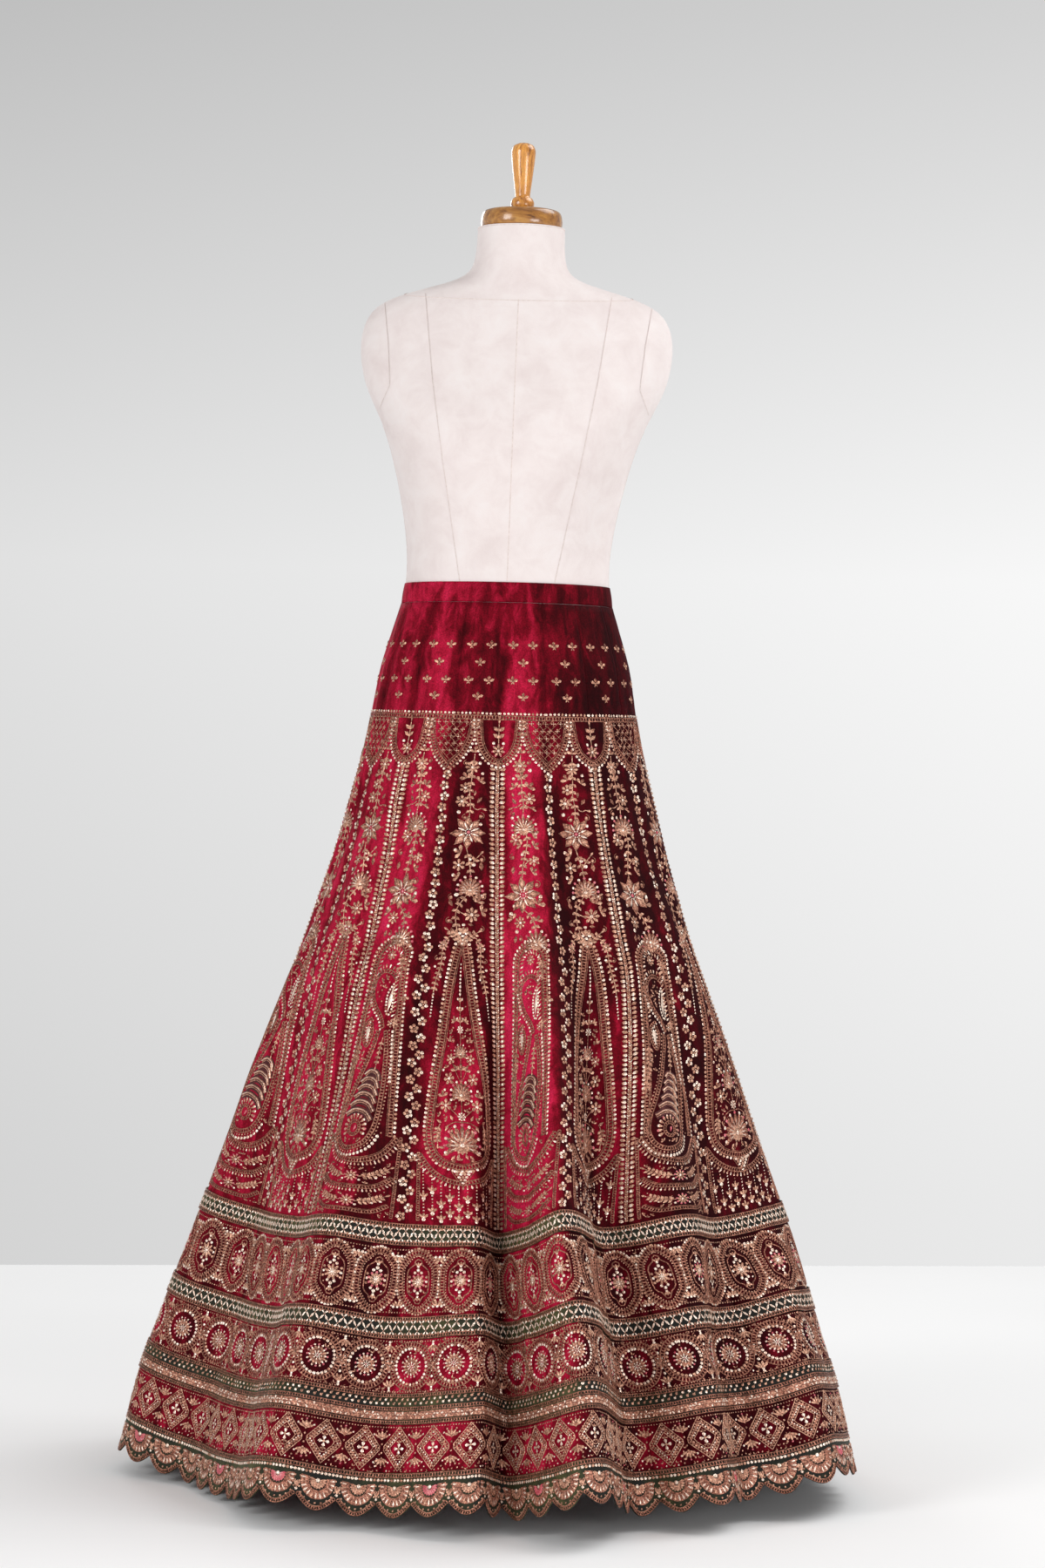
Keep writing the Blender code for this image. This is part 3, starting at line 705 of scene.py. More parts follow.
# ---- the vines of the upper skirt
# Rows of kind, x, y and size, and the petals, height, side or angle that some kinds have.
VINE_STAR_HIGH = (
    ("trefoil", 2, 948, 6, 0), ("flower", 0, 929, 9, 8), ("bead", 9, 934, 2.2, 0),
    ("curl", -8, 938, 4, -1), ("trefoil", -6, 915, 7, -30), ("flower", -7, 903, 7, 6),
    ("trefoil", 10, 911, 6, 40), ("bead", 13, 921, 1.9, 0), ("flower", -10, 886, 8, 7),
    ("leaf", 9, 884, 9, 35), ("leaf", 5, 893, 7, 10), ("curl", 14, 872, 5, 1), ("curl", -5, 870, 4.5, -1),
    ("bead", -13, 872, 2.4, 0), ("star", 0, 847, 20, 0), ("bead", 14, 857, 2, 0),
    ("trefoil", -8, 821, 8, -70), ("bead", -15, 824, 2.4, 0), ("bead", 3, 813, 2.2, 0),
    ("bead", 8, 806, 2.4, 0), ("curl", 17, 818, 5, 1), ("leaf", 16, 810, 11, 172),
    ("flower", -10, 805, 8, 6), ("bead", -16, 792, 2.3, 0), ("lotus", 5, 779, 29, 22),
    ("trefoil", -10, 789, 6, -60), ("curl", -17, 768, 4.5, -1), ("bead", -11, 767, 2.4, 0),
    ("leaf", -15, 752, 10, -25), ("leaf", -9, 757, 7, 10), ("curl", 21, 771, 5, 1),
    ("trefoil", 15, 759, 7, 25), ("flower", 9, 743, 10, 8), ("trefoil", 20, 748, 7, 70),
    ("curl", -18, 738, 4.5, -1), ("leaf", -13, 731, 8, -60), ("leaf", 5, 731, 7, 100),
    ("trefoil", 2, 720, 6, 20), ("trefoil", -12, 718, 6, -20), ("curl", 22, 730, 4.5, 1),
)
STEM_STAR_HIGH = (
    [(2, 946), (1, 930), (0, 912), (-1, 896), (1, 880), (0, 866)],
    [(-2, 828), (1, 815), (4, 800), (5, 790)], [(4, 772), (-2, 762), (-9, 750), (-10, 736), (-7, 722)],
    [(4, 880), (8, 875), (14, 877)], [(-1, 896), (-5, 889)], [(4, 803), (9, 812), (14, 818)],
    [(4, 772), (12, 764), (19, 768)], [(-9, 748), (-2, 744), (3, 743)],
)
VINE_LOTUS_HIGH = (
    ("trefoil", -3, 948, 6, 0), ("flower", -4, 932, 9, 8), ("curl", 6, 940, 4, 1),
    ("bead", 8, 926, 2.3, 0), ("trefoil", -2, 917, 7, 0), ("trefoil", -10, 905, 6, -40),
    ("trefoil", 6, 904, 7, 40), ("bead", -12, 916, 2, 0), ("flower", 7, 890, 8, 7),
    ("leaf", -9, 884, 9, -35), ("leaf", -12, 893, 6, -20), ("leaf", 7, 878, 7, 80),
    ("curl", -13, 877, 4.5, -1), ("bead", -15, 867, 2.2, 0), ("lotus", -1, 857, 29, 22),
    ("trefoil", 9, 846, 7, 75), ("flower", -12, 839, 8, 7), ("trefoil", -5, 832, 6, -60),
    ("trefoil", 10, 830, 6, 60), ("curl", -17, 822, 4.5, -1), ("bead", -4, 820, 2.2, 0),
    ("flower", 10, 811, 7, 6), ("leaf", -17, 806, 10, 185), ("trefoil", 7, 797, 6, 60),
    ("star", -5, 769, 21, 0), ("curl", 12, 786, 5.5, 1), ("trefoil", 12, 757, 8, 30),
    ("bead", -18, 757, 2.2, 0), ("bead", 16, 766, 2.4, 0), ("flower", -11, 737, 8, 8),
    ("trefoil", -20, 742, 6, -40), ("bead", -22, 748, 2.4, 0), ("trefoil", 11, 737, 6, 20),
    ("leaf", -17, 722, 9, 195), ("bead", -16, 727, 2.4, 0), ("curl", -12, 722, 4, 1),
    ("lotus", 9, 714, 28, 22),
)
STEM_LOTUS_HIGH = (
    [(-3, 946), (-4, 930), (-2, 912), (-2, 896), (0, 884), (-1, 872)],
    [(0, 850), (3, 838), (0, 820), (-4, 803), (-5, 790)], [(-5, 752), (3, 744), (8, 734), (9, 724)],
    [(-1, 884), (5, 880), (9, 878)], [(-2, 806), (4, 812), (8, 812)], [(-3, 884), (-8, 880), (-13, 880)],
)


def vine(st, rows, stems):
    for stem in stems:
        st.sprig(smooth(stem), 5.6, 9)
    draw = {
        "flower": lambda x, y, size, petals: st.flower(x, y, size, petals),
        "lotus": lambda x, y, width, tall: st.lotus(x, y - 0.25 * tall, 1.06 * width, 1.1 * tall),
        "star": lambda x, y, size, _: st.star(x, y, 1.12 * size),
        "curl": st.curl,
        "trefoil": lambda x, y, size, angle: st.trefoil(x, y, 1.12 * size, angle),
        "bead": lambda x, y, size, _: st.bead(x, y, size, PEARL),
    }
    for kind, x, y, size, extra in rows:
        if kind == "leaf":
            st.leaf(x, y, extra, size, 0.55 * size, CORD, PETAL)
            st.bead(*polar(x, y, extra, 0.55 * size), 1.1)
        else:
            draw[kind](x, y, size, extra)


def arch_pendant(st):
    """A hanging loop with a small flowering sprig in it, over a wheat column."""
    loop = hanging((0, 935), (15, 945), (22, 960), (24, 975), (25, 989))
    st.outlined(loop, 5, 5.4, -4.6)
    st.flower(0, 951, 7.5, 7, LEAF, STONE)
    st.sprig([(0, 958), (0, 984)], 7.5, 8)
    st.bead([-6, 6], [960, 960], 1.9)
    st.trefoil(0, 936, 5, 180)


def shield_pendant(st):
    """A pointed shield filled with a lattice, over a flower chain."""

    def reach(y):
        return np.interp(y, (934, 950, 966, 990), (0, 13, 19, 22))

    half = [(27, 989), (26, 975), (23, 962), (15, 945), (0, 928)]
    edge = np.concatenate((smooth([(-x, y) for x, y in half]), smooth(half[::-1])[1:]))
    st.outlined(edge, 4.6, 5, -4.4)
    for slope in (-1, 1):
        for start in range(-30, 31, 9):
            line = np.array([(start + slope * (t - 30), 990 - t) for t in np.arange(0, 60, 2)])
            line = line[np.abs(line[:, 0]) < reach(line[:, 1])]
            if len(line) > 2:
                st.cord(line, 0.8, CORD, 0.4, step=6)
    for row in range(6):
        y = 985.5 - 9 * row
        x = (np.arange(-3, 4) + 0.5 * (row % 2)) * 9
        x = x[np.abs(x) < reach(y) - 2]
        st.flower(x, 0 * x + y, 3, 4)


def garland_top(st):
    """The border that the pendants hang from, with small sprigs above it up to the waist."""
    half = half_kali(995)
    st.ladder([(-half, 992), (half, 992)], 4.6)
    st.beads([(-half, 997), (half, 997)], 5, 1.6)
    st.flower(0, 983, 5.5, 6, LEAF, PEARL)
    st.trefoil(0, 974, 6, 180)
    for x, y in ((0, 1016), (-13, 1036), (12, 1036), (0, 1058), (-12, 1080), (12, 1080)):
        st.trefoil(x, y, 6.5, 0)
        st.leaf(x, y, (150, 210), 4, 2)


# ---- the teardrop panel
TEARDROP = (
    (3, 693), (5, 682), (7.5, 669), (14, 627), (21.5, 575), (30, 528), (37, 484), (39.5, 460),
    (36.5, 441), (26.5, 427), (12, 420), (0, 417),
)


TREE_FIT = ((440, 460, 484, 528, 575, 627), (0.96, 0.92, 0.86, 0.78, 0.7, 0.66))
TASSEL_FOOT = 348


def teardrop_panel(st):
    right = smooth(TEARDROP)
    edge = np.concatenate((right[:0:-1] * (-1, 1), right))
    st.beads(shifted(edge, -5.6), 5.4, 1.95, dull=0.5)
    st.ladder(edge, 5.6)
    st.cord(shifted(edge, 4.8), 0.9)
    # the finial at the point, and the pendant below
    st.leaf(0, 690, (-38, -14, 14, 38), 15, 5)
    st.petals(0, 706, (-30, 0, 30), 11, 5)
    st.bead([0, 0, 0, -4, 4], [693, 703, 720, 707, 707], 2.2)
    for row in range(5):
        x = (np.arange(5 - row) - 0.5 * (4 - row)) * 4.6
        st.bead(x, 0 * x + 413 - 3.9 * row, 2, np.where(np.arange(len(x)) % 2 == row % 2, PEARL, LEAF))
    st.cord([(-14, 414), (0, 391), (14, 414)], 1)
    teardrop_tree(st)
    for side in (-1, 1):
        teardrop_sprays(st, side)
    inside = ((422, 445, 485, 530, 580, 628), (14, 29, 29, 22, 14, 7))
    st.fill(lambda x, y: np.abs(x) < np.interp(y, *inside), (-36, 36), (424, 626), 6.1, 3, 4)
    tassels(st)


def teardrop_tree(st):
    """The tree inside the teardrop, drawn wide and fitted to the narrow neck."""
    st.squeeze = lambda height: np.interp(height, *TREE_FIT)
    y = np.arange(667, 627, -4.6)
    st.bead(0 * y, y, np.interp(y, (627, 667), (2, 1.3)))
    st.cord([(0, 628), (0, 470)], 1.3, CORD, 0.8)
    for y, size, spread in ((620, 6, 30), (609, 7, 48), (596, 8, 58)):
        st.petals(0, y, (-spread, 0, spread), size, 0.55 * size)
        st.bead([-0.62 * size, 0.62 * size], [y + 4, y + 4], 1.7)
    st.flower(0, 587, 5.5, 8, PEARL)
    for y, width, tall in ((557, 21, 17), (507, 31, 24), (446, 44, 34)):
        st.lotus(0, y, width, tall)
    st.flower(0, 481, 6, 8, PEARL)
    st.trefoil(0, 538, 8, 0)
    for s in (-1, 1):
        st.curl(s * 8, 603, 4, s)
        st.leaf(s * 9, 597, sided(s, 20, 75, 110), 7, 3.6)
        st.curl(s * 12, 579, 5, s)
        st.leaf(s * 16, 572, sided(s, 10, 60), 8, 4)
        st.flower(s * 16, 551, 7, 6, turn=10)
        st.flower(s * 18, 527, 8, 6, turn=20)
        st.cord(curve(s, (0, 522), (6, 532), (14, 548)), 1)
        st.cord(curve(s, (0, 520), (8, 520), (16, 526)), 1)
        st.trefoil(s * 8, 537, 7, s * 20)
        st.bead([s * 24, s * 27], [513, 537], 1.8)
        st.flower(s * 22, 494, 8.5, 6)
        st.trefoil(s * 26, 505, 7, s * 10)
        st.cord(curve(s, (0, 477), (8, 484), (18, 492)))
        st.cord(curve(s, (0, 474), (10, 474), (22, 468)))
        st.leaf(sided(s, 12, 18, 27, 30), [476, 470, 473, 460], sided(s, 30, 150, 60, 165), 8, 4)
        st.curl(s * 13, 468, 4.5, s)
        st.sprig(curve(s, (29, 472), (32, 462), (31, 449)), 5.5, 5)
        st.leaf(sided(s, 4, 9, 16, 22), [436, 434, 437, 443], sided(s, 160, 140, 110, 80), 8.5, 4)
        st.curl(s * 12, 431, 4, -s)
    st.squeeze = None


def teardrop_sprays(st, s):
    """What hangs outside the point of the teardrop, on one side."""
    st.sprig(curve(s, (2, 694), (9, 702), (17, 709)), 6, 6)
    st.flower(s * 22, 690, 5.5, 6, LEAF, STONE)
    st.sprig(curve(s, (13, 703), (20, 696), (23, 684), (24, 664), (29, 646), (32, 630)), 4.6, 6.6)
    st.bead(sided(s, 27, 20, 31, 24), [688, 674, 662, 650], 1.6)
    st.curl(s * 29, 676, 3.6, s)
    st.curl(s * 26, 657, 3.6, -s)
    y = np.arange(628, 598, -3.9)
    st.bead(s * np.interp(y, (598, 628), (36, 32)), y, 1.4)


def tassels(st):
    """The crescent under the teardrop, and the tassels from it down to the border."""
    half = half_kali(431, 12)
    swag = hanging((0, 397), (0.4 * half, 402), (0.75 * half, 415), (half, 434))
    st.ladder(swag, 4.8)
    st.fringe(shifted(swag, 3), 6, 5)
    for index, x in enumerate(np.arange(-4.5, 5) * (2 * half - 4) / 9.4):
        top = np.interp(x, swag[:, 0], swag[:, 1]) - 8
        y = np.arange(top, TASSEL_FOOT, -4.3)
        st.bead(0 * y + x, y, 1.25, st.mixed(len(y), 0.4, LEAF, PEARL))
        for at in ((0.3, 0.78) if index % 2 else (0.55, 0.94)):
            here = top + (TASSEL_FOOT - top) * at
            st.petals(x, here - 3.5, (-42, 0, 42), 8, 3.8)
            st.bead(x, here - 4.5, 2.6)
    for s in (-1, 1):
        st.ladder([(s * (half + 1), 436), (s * (half + 3), 346)], 3.4, 3.2)


# ---- the paisley panel
PAISLEY = (
    (1, 596), (-2, 580), (-8, 559), (-17, 535), (-26.5, 514), (-34.5, 494), (-37, 476), (-32, 462),
    (-21, 453), (-7, 452), (8, 459), (16, 473), (19.5, 489), (21, 516), (20.5, 540), (17, 575), (12, 596),
)
HOOK = ((7, 600), (2, 612), (-9, 626), (-16, 640), (-18, 653), (-13, 665), (-2, 671), (8, 668), (14, 661))


def paisley_panel(st, share):
    """The mango in its arch over three crescents. share narrows the arch and the mango."""
    # the arched frame, closed below by the first of the crescents
    rise = np.array((470, 500, 540, 580, 620, 655, 680))
    left = np.stack((-half_kali(rise, 19), rise), 1)
    right = np.stack((half_kali(rise, 21.5), rise), 1)
    crown = [(-20, 696), (-10, 706), (1, 709), (12, 706), (22, 696)]
    st.squeeze = lambda height: share
    arch = smooth(np.concatenate((left, crown, right[::-1])))
    st.outlined(arch, 5, -5.2, 4.4, 5.4, 1.9)
    st.squeeze = None
    crescents(st)
    st.squeeze = lambda height: share
    mango(st)
    mango_tip(st)
    # sprays in the gaps round the mango, and leaves inside the top of the arch
    st.flower(1, 691, 7, 8)
    st.sprig(smooth([(14, 692), (18, 684), (18, 672)]), 5.5, 5)
    st.sprig(smooth([(-26, 585), (-29, 568), (-34, 548), (-37, 525)]), 6.5, 6)
    st.flower(-28, 563, 5, 6)
    st.trefoil(29, 640, 6, 180)
    st.fringe(shifted(arch[arch[:, 1] > 612], 5.2), 6.5, 5.4, 62)
    st.squeeze = None
    st.fill(lambda x, y: np.abs(x + 1) < half_kali(y, 24), (-40, 40), (462, 700), 6.8, 3.7, 4.2)

    def among_crescents(x, y):
        return (np.abs(x) < half_kali(y, 17)) & (y < np.interp(np.abs(x), (0, 40), (432, 462)))

    st.fill(among_crescents, (-52, 52), (348, 462), 6.6, 3.4, 3.9)


def crescents(st):
    """Three swags with sprays between them, and a ladder down each side."""
    edge = half_kali(450, 14)
    for middle, ends, fringed in ((436, 468, True), (391, 414, True), (351, 366, False)):
        wide = edge + (2 if middle < 430 else 0)
        between = 0.55 * middle + 0.45 * ends - 5
        swag = hanging((0, middle), (0.62 * wide, between), (wide, ends))
        st.ladder(swag, 4.6)
        st.cord(shifted(swag, -4), 0.9)
        if fringed:
            st.fringe(shifted(swag, 2.8), 6, 4.7)
    for middle, ends in ((410, 429), (367, 381)):
        st.flower(0, middle, 8.5, 9, LEAF, STONE)
        for s in (-1, 1):
            st.sprig(curve(s, (9, middle), (24, 0.8 * middle + 0.2 * ends), (edge - 4, ends)), 6.5, 5.4)
            st.curl(s * 14, middle + 7, 4.2, s)
            st.bead([s * 11, s * 30, s * 40], [middle - 6, middle + 1, middle + 5], 1.8)
    for s in (-1, 1):
        st.ladder([(s * (edge + 4), 470), (s * (edge + 8), 346)], 3.4, 3.2)


MANGO_HEART = (-9, 476)
RIB_HEIGHTS = (543, 534, 525, 515.5, 505.5, 495)


def mango(st):
    body = smooth(PAISLEY)
    st.ladder(body, 4.4)
    st.beads(shifted(body, 4.8), 4.6, 1.4, LEAF)
    low = shifted(body, 9)
    st.beads(low[low[:, 1] < 468], 5.3, 2.1, dull=0)
    inner = body[body[:, 1] > 470]
    left, right = inner[: len(inner) // 2], inner[len(inner) // 2 :]
    for y in RIB_HEIGHTS:
        start = left[np.argmin(np.abs(left[:, 1] - y - 3)), 0]
        end = right[np.argmin(np.abs(right[:, 1] - y + 8)), 0]
        span = end - start
        rib = [
            (start + 5.5, y - 1), (start + 0.4 * span, y + 4.5), (start + 0.72 * span, y + 1),
            (end - 5.5, y - 9),
        ]
        rib = smooth(rib)
        # A wide flat dark cord under each rib: painted shadow between the ribs.
        st.cord(shifted(rib, 1.2), 10, DEEP, 0.1, step=3)
        st.cord(rib, 2.5, LEAF, 1.3, step=3)
        st.cord(rib, 1, PEARL, 1.9, step=3)
        st.cord(shifted(rib, 2.5), 1.2, LEAF)
    st.sprig([(10, 588), (8, 570), (7, 553)], 4.5, 5.5)
    # the round heart of the mango
    x, y = MANGO_HEART
    st.ladder(arc(x, y, 8.5, 8.5, 0, 360, 20), 3.4, 3.2, step=3)
    angle = np.linspace(-115, 115, 12)
    st.petals(*polar(x, y, angle, 11), angle, 7.5, 4.6)
    st.bead(*polar(x, y, angle, 17, 16.5), 1.7, np.where(np.arange(12) % 3 == 1, STONE, PEARL))
    st.petals(x, y - 4, 20, 8, 4, STONE)


def mango_tip(st):
    """The mango's hooked tip, with a long drop hanging in it and a small mango beside it."""
    hook = smooth(HOOK)
    st.ladder(hook, 4)
    st.fringe(shifted(hook[12:], -3.2), 5.5, 4.6, -90)
    st.beads(shifted(hook[:20], -4.8), 5, 1.7)
    drop = [(11, 655), (6, 645), (5, 632), (7, 620), (11, 616), (14, 622), (14, 636), (13, 648), (11, 655)]
    st.beads(smooth(drop), 3.9, 1.6, dull=0.1)
    st.leaf(9.5, 620, 3, 33, 6, PEARL)
    small = [(-12, 612), (-20, 606), (-23, 596), (-20, 584), (-15, 577), (-11, 585), (-9, 596), (-12, 606)]
    small = smooth(small)
    st.ladder(small, 3.2, 3.2, step=3)
    st.petals(-15.5, 583, -2, 20, 7.5, PEARL)
    st.beads(shifted(small, -3), 4.4, 1.4)
    st.flower(17, 606, 5.5, 6)
    st.leaf(20, 608, (10, 60, 120, 165), 9, 4)
    st.beads([(21.5, 596), (24, 575), (27, 555), (28, 535)], 5.2, 2.2, dull=0)


# ---- the borders
def rows_across(y, count):
    """The places of repeats across the width of one kali at a height, and their pitch."""
    width = 2 * half_kali(y)
    return (np.arange(count) - 0.5 * (count - 1)) * width / count, width / count


def fine_beads(st, *heights):
    """Rows of the smallest beads along the edges of a border."""
    for y in heights:
        st.beads(level_line(y), 3.4, 1.1, LEAF)


def fill_strip(st, low, high, pitch=4.8, clear=2.5, size=4.2):
    half = half_kali(0.5 * (low + high), 1.5)
    st.fill(lambda x, y: np.abs(x) < half, (-half, half), (low, high), pitch, clear, size, False)


CARTOUCHE_Y, MEDALLION_Y, DIAMOND_Y, FAN_Y = 273.5, 174.5, 79.5, 34
CARTOUCHE = [
    (0, 308), (7, 306), (13, 300), (20, 291), (21.5, 280), (21.5, 267), (20, 256), (13, 247), (7, 241),
    (0, 239),
]
KEYHOLE = [
    (0, 300), (4, 298), (4.5, 293), (10.5, 289), (13, 283), (13, 264), (10.5, 258), (4.5, 254), (4, 249),
    (0, 247),
]


def cartouches(st):
    middle = CARTOUCHE_Y
    xs, pitch = rows_across(middle, 3)
    fine_beads(st, 237, 310.5)
    for x in xs:
        edge = both_sides(CARTOUCHE) + (x, 0)
        st.ladder(edge, 4.8)
        st.beads(shifted(edge, -4.4), 3.9, 1.6, dull=0.6)
        st.beads(shifted(edge, 4.3), 3.3, 1.2, LEAF)
        st.cord(both_sides(KEYHOLE, 2) + (x, 0), 1.6)
        heart = STONE if st.rng.random() < 0.5 else LEAF
        st.flower(x, middle, 8.2, 9, LEAF, heart, 0, 1.25)
        st.flower(x, middle, 4.8, 8, PEARL, None, 10, 0.8, heart)
        for s in (-1, 1):
            rise = middle + sided(s, 10.5, 10.5, 13.5, 18)
            st.bead([x - 4, x + 4, x, x], rise, np.array([1.9, 1.9, 2.2, 1.8]))
            fan = np.array([-34, 0, 34]) + (0 if s > 0 else 180)
            st.petals(x, middle + s * 17, fan, 6.5, 2.8)
            st.bead(x + s * 10.4, [268, 273.5, 279], 1.7, np.array([LEAF, PEARL, LEAF]))
    for x in xs - 0.5 * pitch:
        for y, way, s in ((303, 180, 1), (244, 0, -1)):
            st.petals(x, y, way + np.array([-58, -24, 24, 58]), 8, 3.6)
            st.bead([x, x - 5, x + 5], [y, y, y], 1.9)
            for side in (-1, 1):
                st.curl(x + side * 9.5, y + s * 2, 3, side * s)
    fill_strip(st, 236, 312)


def medallions(st):
    middle = MEDALLION_Y
    xs, pitch = rows_across(middle, 3)
    fine_beads(st, 145, 203.5)
    turn = np.arange(0, 360, 22.5)
    for x in xs:
        st.ladder(arc(x, middle, 0.5 * pitch - 3, 26, 0, 360, 48), 5)
        st.beads(arc(x, middle, 19.8, 21, 0, 360, 40)[:-1], 4.6, 1.95)
        st.cord(arc(x, middle, 6.6, 6.9, 0, 360, 25), 6, CORD, 0.3, step=2.2)
        st.leaf(*polar(x, middle, turn, 6.4, 6.6), turn, 4.8, 2.5, alternate(16, PEARL, LEAF), DROP)
        st.bead(*polar(x, middle, turn, 12, 12.5), 1.55, alternate(16, STONE, PEARL))
        st.petals(*polar(x, middle, turn[::2], 2.4), turn[::2] + 11, 3.9, 1.9, PEARL)
        st.flower(x, middle, 3.4, 6, PEARL, None, 0, 0.9, STONE)
    for x in xs - 0.5 * pitch:
        st.flower(x, middle, 6.2, 7, LEAF, PEARL, 30)
        for s in (-1, 1):
            y = middle + s * 25
            fan = (180 if s > 0 else 0) + np.array([-50, -17, 17, 50])
            st.petals(x, y, fan, 10, 3.8)
            st.bead([x, x, x], [y, y - s * 12.5, y + s * 3], 1.8)
            for side in (-1, 1):
                st.curl(x + side * 8.5, y + s * 2, 3.4, side * s)
                st.leaf(x + side * 13, y + s * 3.5, sided(side, 60, 110), 5, 2.4, CORD)
    fill_strip(st, 145, 204)


def diamonds(st):
    middle = DIAMOND_Y
    xs, pitch = rows_across(middle, 4)
    half = 0.5 * pitch
    outline = np.array([(0, 1), (1, 0), (0, -1), (-1, 0), (0, 1)])
    for x in xs:
        st.cord(outline * (half - 5.1, 19.9) + (x, middle), 2.4, CORD, 0.3, step=6)
        for wide, tall in ((half - 0.8, 25.4), (half - 9.4, 14.4)):
            st.cord(outline * (wide, tall) + (x, middle), 1.3, LEAF, step=6)
        st.beads(outline * (half - 3.3, 22.4) + (x, middle), 3.6, 1.3, LEAF, dull=0)
        st.beads(outline * (half - 6.8, 17.4) + (x, middle), 3.4, 1.35, dull=0.35)
        st.flower(x, middle, 6.6, 4, PEARL, None, 0, 1.2, LEAF)
        st.trefoil(x, [86.5, 72.5], 3.6, np.array([0, 180]))
    for x in xs - 0.5 * pitch:
        for s in (-1, 1):
            y = middle + s * 11
            fan = (0 if s > 0 else 180) + np.array([-62, -32, 0, 32, 62])
            st.petals(x, y, fan, 9.5, 3.6)
            st.bead(*polar(x, y, fan, 10.6), 1.5, np.array([PEARL, LEAF, STONE, LEAF, PEARL]))
            st.leaf(x, y, fan[[0, 4]] + (95, -95), 5, 2.6, CORD)
            st.bead(x, [y, middle + s * 5], 1.5, LEAF)
    fine_beads(st, 104)
    fill_strip(st, 54, 106, 5.4, 3.2, 3.4)


def lattice(st, low, high):
    """Four-petalled flowers in a row between two ladders, with half ones above and below."""
    middle = 0.5 * (low + high)
    for y in (low + 2.6, high - 2.6):
        st.ladder(level_line(y), 3.6, 3.2, step=9)
    xs, pitch = rows_across(middle, 15)
    for shift, y, beyond in ((0, middle + 4, 3.2), (0.5, middle - 4, -3.2)):
        x = xs + shift * pitch
        for angle in (35, 145, 215, 325):
            st.petals(*polar(x, y, angle, 0.9), angle, 4.9, 3, PEARL)
        st.bead(x, y, 1.1, LEAF)
        st.bead(x + 0.5 * pitch, y + beyond, 1.5, LEAF)


def twin_rows(st, low, high):
    """A zigzag of beads over a row of small flowers, between three ladders."""
    for y in (low + 2.4, low + 18.2, high - 2.4):
        st.ladder(level_line(y), 3.4, 3.2, step=9)
    flowers_y = low + 10.3
    st.cord(level_line(flowers_y), 10, CORD, 0.2, step=9)
    xs, _ = rows_across(low + 10, 18)
    for turn in 72 * np.arange(5):
        look = st.mixed(len(xs), 0.5, PEARL, LEAF)
        st.put(DROP, *polar(xs, flowers_y, turn, 0.7), np.radians(turn), 4.4, 2.8, 1.3, look)
    xs, pitch = rows_across(low + 26, 24)
    for shift, y in ((0, low + 24), (0.5, low + 28.6)):
        x = xs + shift * pitch
        st.bead(x, y, 1.65, st.mixed(len(xs), 0.5, PEARL, LEAF))
        st.leaf(x, y, 45, 3.2, 1.4)


def scallop_edge(x, pitch):
    """The lower edge of one scallop of the hem, from right to left."""
    along = np.linspace(1, 0, 15)
    return np.stack((x + (along - 0.5) * pitch, 1000 * SCALLOP_DEPTH * (1 - np.sin(np.pi * along))), 1)


def hem_fans(st):
    """The fans in the scallops of the hem, with a ladder and a row of beads over them."""
    middle = FAN_Y
    st.ladder(level_line(48.5), 4.2, 3.4, step=9)
    st.beads(level_line(43.2), 4.4)
    xs, pitch = rows_across(20, SCALLOPS_PER_KALI)
    for index, x in enumerate(xs):
        edge = scallop_edge(x, pitch)
        st.ladder(shifted(edge, 2.4), 3.2, 3, step=4)
        st.cord(shifted(edge, 5), 0.9, LEAF)
        st.cord(arc(x, middle, 15, 16.6, 76, 284, 18), 11, CORD, 0.15, step=3.6)
        st.cord(arc(x, middle, 6, 6, 76, 284, 12), 7, CORD, 0.15, step=3)
        angle = np.linspace(78, 282, 11)
        look = STONE if index == 1 else LEAF
        st.petals(*polar(x, middle, angle, 2), angle, 8, 3.4, look)
        st.bead(x, 34.5, 2.4)
        st.cord(arc(x, middle, 11.6, 11.6, 82, 278, 16), 1, step=3)
        angle = np.linspace(84, 276, 13)
        reach = 1 + 0.22 * np.maximum(-np.cos(np.radians(angle)), 0)
        look = np.where(np.arange(13) % 4 == 3, LEAF, PEARL)
        st.petals(*polar(x, middle, angle, 13.4), angle, 6.2 * reach, 3.1, look)
        st.bead(*polar(x, middle, angle, 21.2 * 0.97 * reach, 21 * reach), 1.5, LEAF)
        st.bead(*polar(x, middle, angle[:-1] + 8, 16.5, 17), 1.1, CORD)
    for x in xs - 0.5 * pitch:
        st.petals(x, 22, (-20, 20, 0), 9, 3.2)
        st.bead(x, 21, 1.7)


# ---- materials
# The velvet's colours along its painted light, from painted shade to painted highlight.
VELVET_SHADE_TO_LIGHT = (
    (0.44, (0.02, 0.0004, 0.0014)), (0.57, (0.058, 0.0007, 0.0032)), (0.68, (0.175, 0.0016, 0.01)),
    (0.79, (0.42, 0.008, 0.036)), (0.93, (0.64, 0.02, 0.08)),
)
# The green silk's colours along its painted light and random tone, from painted shade to painted highlight.
GREEN_SHADE_TO_LIGHT = ((0.27, (0.004, 0.004, 0.002)), (0.42, (0.022, 0.024, 0.008)), (0.6, (0.09, 0.084, 0.026)))
COVER_TONES = ((0.3, (0.708, 0.62, 0.604)), (0.55, (0.765, 0.689, 0.672)), (0.75, (0.788, 0.73, 0.716)))


